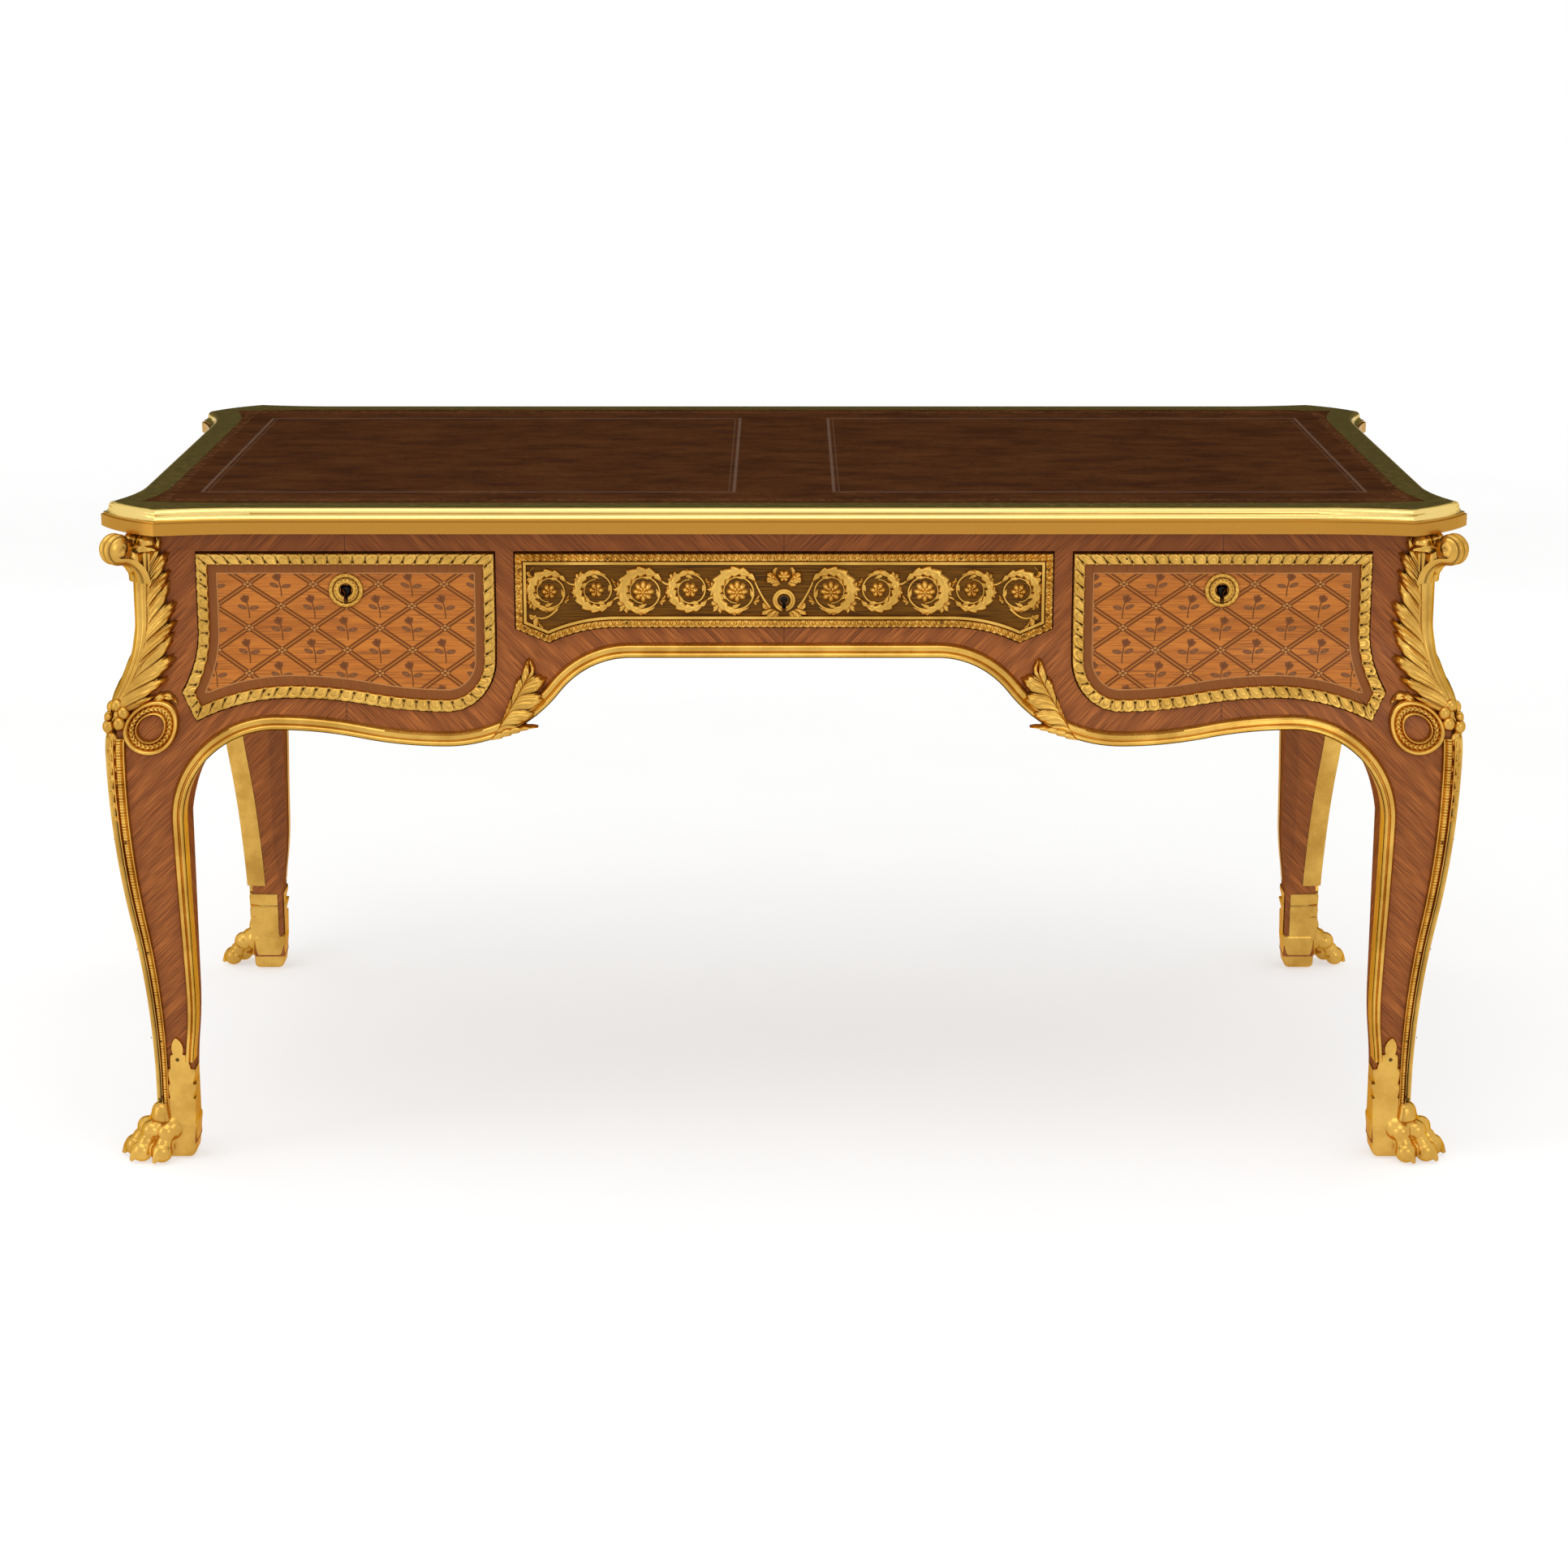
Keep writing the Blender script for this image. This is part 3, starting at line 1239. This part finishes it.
def moulding_relief(run, share):
    """Relief of the edge moulding: three half-round bars of different widths."""
    bars = min(0.9, rolls(share, (0.0, 0.40, 0.95), (0.40, 0.90, 1.2), (0.88, 1.0, 0.5)))
    return MOULDING_RISE * bars, max(0.0, 0.60 - 1.6 * bars)


def edge_moulding_mesh(points, place):
    """Moulding along a lower edge and down both legs, narrower towards the ankles."""
    bm = new_mesh()
    whole = mirrored_points(points) + points[1:]
    half_run = line_length(whole) / 2 - (whole[0] - whole[-1]).length / 2
    slimming = 0.42

    def width(run):
        down = max(0.0, abs(run - half_run) - half_run + slimming) / slimming
        return -(MOULDING_WIDTH + 0.001 - 0.006 * down)

    def lip(run, share):
        return MOULDING_RISE * 0.5 - 0.022 * share, 0.2 * share

    ribbon(bm, whole, width, 14, moulding_relief, place)
    ribbon(bm, whole, 0.0008, 4, lip, place)
    return bm


def spandrel_mesh(place):
    """Pair of acanthus leaves that grow out of the mouldings at the ends of the kneehole."""
    bm = new_mesh()
    spine = ((0.331, 0.525), (0.2925, 0.590))
    outer_tips = ((0.3210, 0.547), (0.3140, 0.565), (0.3070, 0.586), (0.2960, 0.607))
    inner_tips = ((0.3000, 0.533), (0.2820, 0.548), (0.2710, 0.567), (0.2705, 0.589), (0.2880, 0.609))
    for side in (-1, 1):
        across = flipped(place, side)
        for tips in (outer_tips, inner_tips):
            acanthus(bm, across, spine, tips, 0.0070, lift=0.003, low=0.0055, rows=20)
        leaf(bm, across, (0.334, 0.523), 158, 0.056, 0.013, 0.004, lobes=5, tip=0.004, base=0.0080, bend=14,
             columns=26, rows=8)
    return bm


def chute_mesh():
    """Corner mount: tiers of acanthus lobes up both faces, a fluted stem, a rolled head, flower and husks."""
    bm = new_mesh()
    wrap = round_corner()
    # Spine and tips of each tier, from the top down
    tiers = (
        (((0.005, 0.650), (0.011, 0.714)),
         ((0.0330, 0.693), (0.0375, 0.711), (0.0355, 0.732), (0.0270, 0.752))),
        (((0.002, 0.590), (0.007, 0.652)),
         ((0.0370, 0.634), (0.0425, 0.653), (0.0425, 0.674), (0.0355, 0.700))),
        (((0.001, 0.540), (0.005, 0.592)),
         ((0.0400, 0.570), (0.0460, 0.588), (0.0460, 0.611), (0.0390, 0.640))),
    )
    for side in (-1, 1):
        face = flipped(wrap, side)
        for step, (spine, tips) in enumerate(tiers):
            acanthus(bm, face, spine, tips, 0.0080, lift=0.004, low=0.002 + 0.0008 * step, bend=0.26, rows=22)
        leaf(bm, face, (-0.003, 0.728), 42, 0.030, 0.024, 0.008, lobes=3, tip=0.010, base=0.010,
             bend=-50, widest=0.6)
        screw(bm, face, (0.0045, 0.722), 0.0085)
        bulb(bm, face(0.0105, 0.7445, 0.0065), 0.0110)
    chute_rib(bm, wrap)
    rolled_head(bm)
    bulb(bm, wrap(0.0, 0.725, 0.011), 0.0105, 1.7)
    flower = 0.548
    for step in range(6):
        angle = math.radians(60 * step + 20)
        petal = wrap(0.0108 * math.cos(angle), flower + 0.0120 * math.sin(angle), 0.0055)
        bulb(bm, petal, 0.0072, 1.15)
    bulb(bm, wrap(0.0, flower, 0.0110), 0.0042)
    husks = 0.530
    for step in range(7):
        size = 0.023 - 0.0022 * step
        z = husks - 0.0165 * step
        for lean in (-118, -62, -90):
            leaf(bm, wrap, (0.0, z), lean, size, size * 0.42, 0.006, columns=10, rows=6)
    return bm


def chute_rib(bm, wrap):
    """Fluted stem up the corner from the flower to the rolled head, wider at its top."""
    columns, rows = 90, 24
    top = FRIEZE_TOP - 0.012

    def spot(column, row):
        share = column / columns
        across = 2 * row / rows - 1
        z = top - (top - CHUTE_FOOT) * share
        half = 0.019 * (1 - 0.62 * share)
        flute = abs(math.cos(2.5 * math.pi * across))
        height = 0.0085 * (1 - across ** 6) * (0.7 + 0.3 * flute ** 0.6)
        return half * across, z, height, (1 - flute) ** 2 * 0.85

    bent_grid(bm, columns, rows, spot, wrap)


def rolled_head(bm):
    """Leaf that curves away from the corner and rolls up under the ear of the top, ribbed along its roll."""
    columns, rows = 80, 28
    coil_columns, coil_rows = 32, 8
    neck, roll, start = 0.023, 0.018, 0.007
    foot = FRIEZE_TOP - 2 * roll - neck
    root = math.sqrt(0.5)

    def place(across, turn, lift):
        spin = turn - math.pi / 2
        if spin < 0:
            out = start + neck - (neck - lift) * math.cos(turn)
            z = foot + (neck - lift) * math.sin(turn)
        else:
            reach = roll - 0.0026 * max(0.0, spin - 1.2 * math.pi) + lift
            out = start + neck + reach * math.sin(spin)
            z = FRIEZE_TOP - roll - reach * math.cos(spin)
        return Vector((-HALF_WIDTH - out * root + across * root, -HALF_DEPTH - out * root - across * root, z))

    def spot(column, row):
        share = column / columns
        across = 2 * row / rows - 1
        groove = abs(math.sin(1.5 * math.pi * across))
        half = 0.014 + 0.005 * max(0.0, 1 - 6 * share)
        lift = -0.0030 * (1 - groove) ** 1.5 - 0.009 * across ** 6
        return half * across, 3.3 * math.pi * share, lift, (1 - groove) ** 1.6

    bent_grid(bm, columns, rows, spot, place)
    for side in (-1, 1):
        def cap(angle, reach, out, side=side):
            at = place(side * (0.0100 + out), 0.5 * math.pi, 0.0)
            middle = Vector((at.x, at.y, FRIEZE_TOP - roll))
            outward = Vector((-root, -root, 0)) * math.cos(angle) + Vector((0, 0, 1)) * math.sin(angle)
            return middle + outward * reach

        def coil(column, row):
            angle = 2 * math.pi * column / coil_columns
            share = row / coil_rows
            turn = (share * 1.6 - angle / (2 * math.pi)) % 1.0
            return angle, 0.0150 * share, 0.003 * (1 - share ** 2) + 0.001 * turn, 0.9 * (1 - turn) ** 3

        round_grid(bm, coil_columns, coil_rows, coil, cap)


def band_mesh():
    """Beaded bands down the outer faces of the front left leg, each with a ring at the knee."""
    bm = new_mesh()
    wrap = round_corner(0.001)
    columns, rows = 640, 14
    rungs = 0.0034
    top = RING_HEIGHT - 0.012

    def spot(column, row):
        share = row / rows
        z = BAND_FOOT + (top - BAND_FOOT) * column / columns
        down = max(0.0, (KNEE - z) / (KNEE - ANKLE))
        width = BAND_WIDTH - BAND_SLIM * min(1.0, down)
        beat = abs(math.sin(math.pi * z / rungs))
        plain = rolls(share, (0.0, 0.22, 0.85), (0.76, 1.0, 1.0))
        ladder = rolls(share, (0.20, 0.78, 0.9)) * (0.72 + 0.28 * beat ** 0.5)
        height = max(plain, ladder)
        shade = max(0.7 - 1.5 * height, 0.85 * (1 - beat) ** 3 if 0.22 < share < 0.76 else 0.0)
        return BAND_INSET + width * share, z, BAND_RISE * height * (1 - 0.3 * down), max(0.0, shade)

    for side in (-1, 1):
        face = flipped(wrap, side)
        bent_grid(bm, columns, rows, spot, face)
        for z in (0.15, 0.262, 0.40):
            down = (KNEE - z) / (KNEE - ANKLE)
            middle = BAND_INSET + 0.49 * (BAND_WIDTH - BAND_SLIM * down)
            screw(bm, face, (middle, z), BAND_RISE * 0.9)
        ring_mesh(bm, face)
    return bm


def ring_mesh(bm, face):
    """Knee ring: a track of laurel leaves between plain rolls, round a bare hole."""
    columns, rows = 208, 20
    leaves = 26
    centre_run = RING_IN + saber(RING_HEIGHT)

    def spot(column, row):
        angle = 2 * math.pi * column / columns
        share = row / rows
        reach = RING_HOLE + (RING_RADIUS - RING_HOLE) * share
        beat = min(1.0, 1.6 * ((leaves * angle / (2 * math.pi) + 5 * abs(share - 0.43)) % 1.0))
        plain = rolls(share, (0.0, 0.24, 0.85), (0.60, 1.0, 1.0))
        laurel = rolls(share, (0.22, 0.64, 0.80)) * (0.72 + 0.28 * beat)
        height = max(plain, laurel)
        shade = max(0.7 - 1.4 * height, 0.8 * (1 - beat) ** 2 if 0.26 < share < 0.60 else 0.0)
        along = max(0.0015, centre_run + reach * math.cos(angle))
        return along, RING_HEIGHT + reach * math.sin(angle), (BAND_RISE + 0.001) * height, max(0.0, shade)

    round_grid(bm, columns, rows, spot, face)
    leaf(bm, face, (centre_run - 0.006, RING_HEIGHT + RING_RADIUS - 0.003), 24, 0.030, 0.014, 0.010, lobes=3,
         bend=-60, columns=16)


def paw_mesh():
    """Lion paw under the front left leg: toes with claws and a heel, to be blended into one surface."""
    bm = new_mesh()
    ankle = (LEG_FACE - ANKLE_SLIM - ANKLE_SWELL) / 2
    centre = Vector((ankle - HALF_WIDTH, ankle - HALF_DEPTH, 0))
    wrist = Vector((-0.006, -0.006, 0.044))
    toes = ((Vector((-0.040, -0.004, 0.036)), Vector((-0.0550, -0.007, 0.0135))),
            (Vector((-0.032, -0.021, 0.037)), Vector((-0.0435, -0.028, 0.0135))),
            (Vector((-0.014, -0.025, 0.036)), Vector((-0.0195, -0.032, 0.0135))))
    for knuckle, end in toes:
        for at, radius in ((wrist, 0.0205), (wrist.lerp(knuckle, 0.5), 0.0170), (knuckle, 0.0125),
                           (knuckle.lerp(end, 0.55), 0.0100), (end, 0.0130)):
            bulb(bm, centre + at, radius)
        ahead = Vector((end.x, end.y, 0)).normalized()
        claw = bmesh.ops.create_cone(bm, cap_ends=True, segments=16, radius1=0.0050, radius2=0.0024,
                                     depth=0.012)["verts"]
        heading = Matrix.Rotation(math.atan2(ahead.y, ahead.x), 4, "Z")
        bmesh.ops.transform(bm, matrix=heading @ Matrix.Rotation(math.radians(152), 4, "Y"), verts=claw)
        bmesh.ops.translate(bm, vec=centre + end + ahead * 0.0120 - Vector((0, 0, 0.0050)), verts=claw)
    sheath = bmesh.ops.create_cube(bm, size=0.0460)
    rims = list({edge for vert in sheath["verts"] for edge in vert.link_edges})
    bevelled = bmesh.ops.bevel(bm, geom=rims, offset=0.006, segments=4, profile=0.5, affect="EDGES")
    heel = list({vert for face in bevelled["faces"] for vert in face.verts})
    bmesh.ops.scale(bm, vec=(1, 1, 1.1), verts=heel)
    for vert in heel:
        up = max(0.0, min(1.0, 0.5 + vert.co.z / 0.05))
        inner = 0.70 + 0.28 * min(1.0, up / 0.4) ** 0.7
        vert.co.x *= inner if vert.co.x > 0 else 0.95
        vert.co.y *= inner if vert.co.y > 0 else 0.95
    bmesh.ops.translate(bm, vec=centre + Vector((0, 0, 0.0275)), verts=heel)
    return bm


def sabot_mesh():
    """Leaf with a screw up both outer faces of the ankle, and the block that ends the bands at its corner."""
    bm = new_mesh()
    wrap = round_corner(0.004)
    columns, rows = 32, 12
    for side in (-1, 1):
        face = flipped(wrap, side)
        sabot_leaf(bm, face)
        screw(bm, face, (0.0235, 0.126), 0.0046, 0.0024)

    def spot(column, row):
        up = 2 * row / rows - 1
        across = 2 * column / columns - 1
        crease = 1 - abs(across)
        height = 0.0100 * (1 - across ** 6) * (1 - 0.6 * up ** 4) + 0.0025 * crease - 0.003 * up
        groove = 0.5 * math.exp(-((crease - 0.5) / 0.12) ** 2)
        shade = max(0.8 * abs(across) ** 12, 0.8 * abs(up) ** 10, groove)
        return 0.0120 * (1 - 0.16 * up) * across, 0.060 + 0.012 * up, height, shade

    bent_grid(bm, columns, rows, spot, wrap)
    screw(bm, wrap, (0.003, 0.078), 0.0085)
    return bm


def sabot_leaf(bm, face):
    """Flat leaf from the paw up one face of the ankle, cut into lobes and lapped round the inner edge."""
    columns, rows = 110, 24
    foot, half = 0.044, 0.0150
    head, lobed, lapped = 0.021, 0.076, 0.042

    def spot(column, row):
        along = column / columns
        across = 2 * row / rows - 1
        down = (SABOT_TOP - foot) * (1 - along)
        notch = ((down - head) / 0.0185) % 1.0
        if down < head:
            reach = 0.0076 * math.sin(0.70 * math.pi * (down / head) ** 0.75)
        elif down < lobed:
            reach = (0.0088 + 0.0062 * min(1.0, (down - head) / 0.025)) * (1.12 - 0.30 * notch)
        else:
            reach = half
        if across > 0:
            reach += 0.0042 * min(1.0, max(0.0, down - 0.02) / 0.02)
        groove = 0.0
        if head < down < lobed:
            groove = max(0.0, abs(across) - 0.45) / 0.55 * math.exp(-(notch / 0.16) ** 2)
        lap = max(0.0, across - 0.75) / 0.25
        flat = min(1.0, (across + 1) / 0.875 - 1)
        height = 0.0046 * (1 - min(0.0, flat) ** 10) * (1 - 0.5 * groove) * (1 - lap)
        if down > lapped:
            height -= 0.034 * lap
        shade = max(0.8 * max(0.0, -flat) ** 14, 0.85 * groove)
        z = SABOT_TOP - down
        run = 0.0220 + 0.0015 * min(1.0, along / 0.66) + reach * flat
        if down > lapped and lap > 0:
            run = LEG_FACE - ANKLE_SLIM + saber(z) + 0.0012
        return run, z, height, shade

    bent_grid(bm, columns, rows, spot, face)


# Settings

class TableLooks(bpy.types.PropertyGroup):
    """Sizes of the inlay, and the studio round the table."""
    trellis_width: bpy.props.FloatProperty(
        name="Trellis width", description="Distance between crossings of the trellis in one row",
        default=0.0746, unit="LENGTH")
    trellis_height: bpy.props.FloatProperty(
        name="Trellis height", description="Distance between crossings of the trellis one above the other",
        default=0.0506, unit="LENGTH")
    trellis_origin: bpy.props.FloatProperty(
        name="Trellis origin", description="Height of a crossing in the middle of a side drawer",
        default=0.6697, unit="LENGTH")
    leaf_pitch: bpy.props.FloatProperty(
        name="Leaf pitch", description="Spacing of the leaves along the side frames",
        default=0.0151, unit="LENGTH")
    tongue_pitch: bpy.props.FloatProperty(
        name="Tongue pitch", description="Spacing of the tongues along the centre frames",
        default=0.0082, unit="LENGTH")
    lens: bpy.props.FloatProperty(
        name="Lens", description="Focal length of the camera in millimetres", default=78.46)
    camera_place: bpy.props.FloatVectorProperty(
        name="Camera place", description="Where the camera stands", default=(0.0, -4.2096, 1.4553),
        subtype="TRANSLATION", unit="LENGTH")
    camera_tilt: bpy.props.FloatProperty(
        name="Camera tilt", description="How far the camera looks down",
        default=math.radians(14.59), subtype="ANGLE")
    light_power: bpy.props.FloatProperty(
        name="Light power", description="Power of the main light over the table, in watts", default=22.0)


class BuildStep:
    """What the steps that build the table have in common."""
    bl_options = {"REGISTER", "UNDO"}


class TABLE_OT_finishes(BuildStep, bpy.types.Operator):
    """Make the finishes and put them on the solids"""
    bl_idname = "table.finishes"
    bl_label = "Finishes"

    def execute(self, context):
        grain_group()
        tarnish_group()
        for make in (gilt_bronze, polished_brass, veneer, cross_banding, stringing, marquetry, centre_ground,
                     leather, oak, lock_steel):
            make()
        paint_solids()
        return {"FINISHED"}


class TABLE_OT_panels(BuildStep, bpy.types.Operator):
    """Inlay the fields, borders and stringing inside the frames"""
    bl_idname = "table.panels"
    bl_label = "Inlaid panels"

    def execute(self, context):
        right = side_drawer_line()
        left = mirrored_points(right)
        centre = centre_drawer_line()
        dress_panel("drawer_left", left, "front", "drawer_left", "marquetry", (-SIDE_MIDDLE, SIDE_KEY))
        dress_panel("drawer_right", right, "front", "drawer_right", "marquetry", (SIDE_MIDDLE, SIDE_KEY))
        dress_panel("back_left", left, "back", "carcase", "marquetry")
        dress_panel("back_right", right, "back", "carcase", "marquetry")
        field = inset_points(centre, FRAME_WIDTH - FRAME_LAP)
        sheet = panel_mesh(field, on_side("front"), (0.0, CENTRE_KEY))
        piece("drawer_centre_field", sheet, "centre ground", "drawer_centre")
        sheet = panel_mesh(field, on_side("back"), None)
        piece("back_centre_field", sheet, "centre ground", "carcase")
        for side in ("left", "right"):
            dress_panel("side_" + side, side_panel_line(), side, "carcase", "chevron veneer")
        for side in ("front", "back"):
            piece("joint_veneer_" + side, joint_veneer(on_side(side)), "chevron veneer", "carcase")
        return {"FINISHED"}


class TABLE_OT_frames(BuildStep, bpy.types.Operator):
    """Cast the leaf-tip and tongue frames of the drawers and panels"""
    bl_idname = "table.frames"
    bl_label = "Frames"

    def execute(self, context):
        looks = context.scene.table_looks
        right = side_drawer_line()
        lines = {"left": (mirrored_points(right), leaf_tip_relief, looks.leaf_pitch),
                 "centre": (centre_drawer_line(), tongue_relief, looks.tongue_pitch),
                 "right": (right, leaf_tip_relief, looks.leaf_pitch)}
        behind = new_mesh()
        for name, (points, relief, pitch) in lines.items():
            mesh = frame_mesh(points, relief, pitch, on_side("front"))
            cast("frame_" + name, mesh, "drawer_" + name, "drawer_frame_" + name)
            add_copy(behind, frame_mesh(points, relief, pitch, on_side("back")))
        cast("frames_back", behind, "carcase", "back_frames")
        for side in ("left", "right"):
            mesh = frame_mesh(side_panel_line(), leaf_tip_relief, looks.leaf_pitch, on_side(side))
            cast("frame_side_" + side, mesh, "carcase", "side_frame_" + side)
        return {"FINISHED"}


class TABLE_OT_drawer_mounts(BuildStep, bpy.types.Operator):
    """Cast the escutcheons and the scrolls of the centre drawer"""
    bl_idname = "table.drawer_mounts"
    bl_label = "Drawer mounts"

    def execute(self, context):
        behind = new_mesh()
        for name, u in (("left", -SIDE_MIDDLE), ("right", SIDE_MIDDLE)):
            mesh = escutcheon_mesh(u, SIDE_KEY, on_side("front"))
            cast("wreath_" + name, mesh, "drawer_" + name, "escutcheon_" + name)
            add_copy(behind, escutcheon_mesh(u, SIDE_KEY, on_side("back")))
        cast("wreaths_back", behind, "carcase", "back_escutcheons")
        cast("scrolls_centre", rinceaux_mesh(on_side("front")), "drawer_centre", "rinceaux_centre")
        cast("scrolls_back", rinceaux_mesh(on_side("back")), "carcase", "back_rinceaux")
        return {"FINISHED"}


class TABLE_OT_edge_mounts(BuildStep, bpy.types.Operator):
    """Cast the mouldings along the aprons and the leaves beside the kneehole"""
    bl_idname = "table.edge_mounts"
    bl_label = "Edge mounts"

    def execute(self, context):
        for side, points in (("front", front_edge_line()), ("back", front_edge_line()),
                             ("left", side_edge_line()), ("right", side_edge_line())):
            node = side + "_mouldings" if side in ("front", "back") else "side_moulding_" + side
            cast("moulding_" + side, edge_moulding_mesh(points, on_side(side)), "carcase", node)
        for side in ("front", "back"):
            cast("spandrels_" + side, spandrel_mesh(on_side(side)), "carcase", "spandrel_leaves_" + side)
        return {"FINISHED"}


class TABLE_OT_leg_mounts(BuildStep, bpy.types.Operator):
    """Cast the chutes, bands and paws of the four legs"""
    bl_idname = "table.leg_mounts"
    bl_label = "Leg mounts"

    def execute(self, context):
        meshes = {"chute": chute_mesh(), "leg_bands": band_mesh(), "paw": paw_mesh(),
                  "sabot_leaf": sabot_mesh()}
        for corner, (sx, sy) in CORNERS.items():
            for kind, mesh in meshes.items():
                node = kind + "_" + corner
                stands_for = [node] if kind != "sabot_leaf" else []
                made = cast("cast_" + node, mirrored(mesh, sx, sy), "carcase", *stands_for)
                if kind == "paw":
                    self.blend(made)
        for mesh in meshes.values():
            mesh.free()
        return {"FINISHED"}

    def blend(self, paw):
        """Runs the toes and the heel of a paw together into one smooth surface."""
        joined = paw.modifiers.new("blend", "REMESH")
        joined.mode = "VOXEL"
        joined.voxel_size = PAW_VOXEL
        joined.use_smooth_shade = True
        soften = paw.modifiers.new("soften", "SMOOTH")
        soften.iterations = 6


class TABLE_OT_stage(BuildStep, bpy.types.Operator):
    """Set up the pale floor, the soft lights and the camera"""
    bl_idname = "table.stage"
    bl_label = "Stage"

    def execute(self, context):
        looks = context.scene.table_looks
        self.floor()
        world = bpy.data.worlds.new("studio")
        world.use_nodes = True
        background = world.node_tree.nodes["Background"].inputs
        background["Color"].default_value = colour(1.0, 1.0, 1.0)
        background["Strength"].default_value = 1.0
        context.scene.world = world
        lamps = (("over", (-0.6, -1.2, 3.2), (0, 0, 0.6), (3.0, 2.0), 1.0),
                 ("front", (1.6, -3.6, 1.6), (0, 0, 0.5), (1.4, 1.4), 0.45),
                 ("left", (-3.0, -1.6, 1.2), (0, 0, 0.5), (1.0, 2.0), 0.35))
        for name, at, target, size, share in lamps:
            self.lamp(context, name, at, target, size, looks.light_power * share)
        self.card()
        lens = bpy.data.cameras.new("camera")
        lens.lens = looks.lens
        camera = bpy.data.objects.new("camera", lens)
        camera.location = looks.camera_place
        camera.rotation_euler = (math.pi / 2 - looks.camera_tilt, 0, 0)
        context.scene.collection.objects.link(camera)
        context.scene.camera = camera
        context.scene.view_settings.view_transform = "Standard"
        return {"FINISHED"}

    def floor(self):
        """A wide pale floor that glows a little, so that it stays even."""
        graph = new_material("pale floor")
        cloud = graph.noise(graph.where(), 3.0)
        shade = graph.mix(cloud, colour(0.46, 0.46, 0.46), colour(0.50, 0.50, 0.50))
        graph.surface({"Base Color": shade, "Roughness": 0.8, "Specular IOR Level": 0.0,
                       "Emission Color": colour(1.0, 1.0, 1.0), "Emission Strength": 0.56})
        bm = bmesh.new()
        bmesh.ops.create_grid(bm, x_segments=4, y_segments=4, size=14.0)
        floor = new_object("floor", bm, "pale floor")

    def card(self):
        """A dark card behind the table that only its reflections show."""
        graph = new_material("dark card")
        cloud = graph.noise(graph.where(), 2.0)
        shade = graph.mix(cloud, colour(0.05, 0.055, 0.03), colour(0.12, 0.125, 0.07))
        graph.surface({"Base Color": shade, "Roughness": 0.9, "Specular IOR Level": 0.0})
        bm = bmesh.new()
        made = bmesh.ops.create_grid(bm, x_segments=8, y_segments=2, size=0.5)
        for vert in made["verts"]:
            vert.co = Vector((vert.co.x * 7.0, 2.6, 1.55 + vert.co.y * 1.5))
        card = new_object("dark_card", bm, "dark card")
        card.visible_camera = False

    def lamp(self, context, name, at, target, size, power):
        """A soft light of some width and height, turned to a point on the table."""
        light = bpy.data.lights.new(name, "AREA")
        light.shape = "RECTANGLE"
        light.size, light.size_y = size
        light.energy = power
        made = bpy.data.objects.new(name, light)
        made.location = at
        made.rotation_euler = (Vector(target) - Vector(at)).to_track_quat("-Z", "Y").to_euler()
        context.scene.collection.objects.link(made)


class TABLE_PT_panel(bpy.types.Panel):
    bl_idname = "TABLE_PT_panel"
    bl_label = "Writing table"
    bl_space_type = "VIEW_3D"
    bl_region_type = "UI"
    bl_category = "Table"

    def draw(self, context):
        looks = context.scene.table_looks
        for name in TableLooks.__annotations__:
            self.layout.prop(looks, name)
        for step in STEPS:
            self.layout.operator(step.bl_idname)


STEPS = (TABLE_OT_finishes, TABLE_OT_panels, TABLE_OT_frames, TABLE_OT_drawer_mounts, TABLE_OT_edge_mounts,
         TABLE_OT_leg_mounts, TABLE_OT_stage)


def register():
    for kind in (TableLooks, *STEPS, TABLE_PT_panel):
        bpy.utils.register_class(kind)
    bpy.types.Scene.table_looks = bpy.props.PointerProperty(type=TableLooks)


def unregister():
    del bpy.types.Scene.table_looks
    for kind in reversed((TableLooks, *STEPS, TABLE_PT_panel)):
        bpy.utils.unregister_class(kind)


def main():
    register()
    bpy.ops.table.finishes()
    bpy.ops.table.panels()
    bpy.ops.table.frames()
    bpy.ops.table.drawer_mounts()
    bpy.ops.table.edge_mounts()
    bpy.ops.table.leg_mounts()
    bpy.ops.table.stage()


if __name__ == "__main__":
    main()
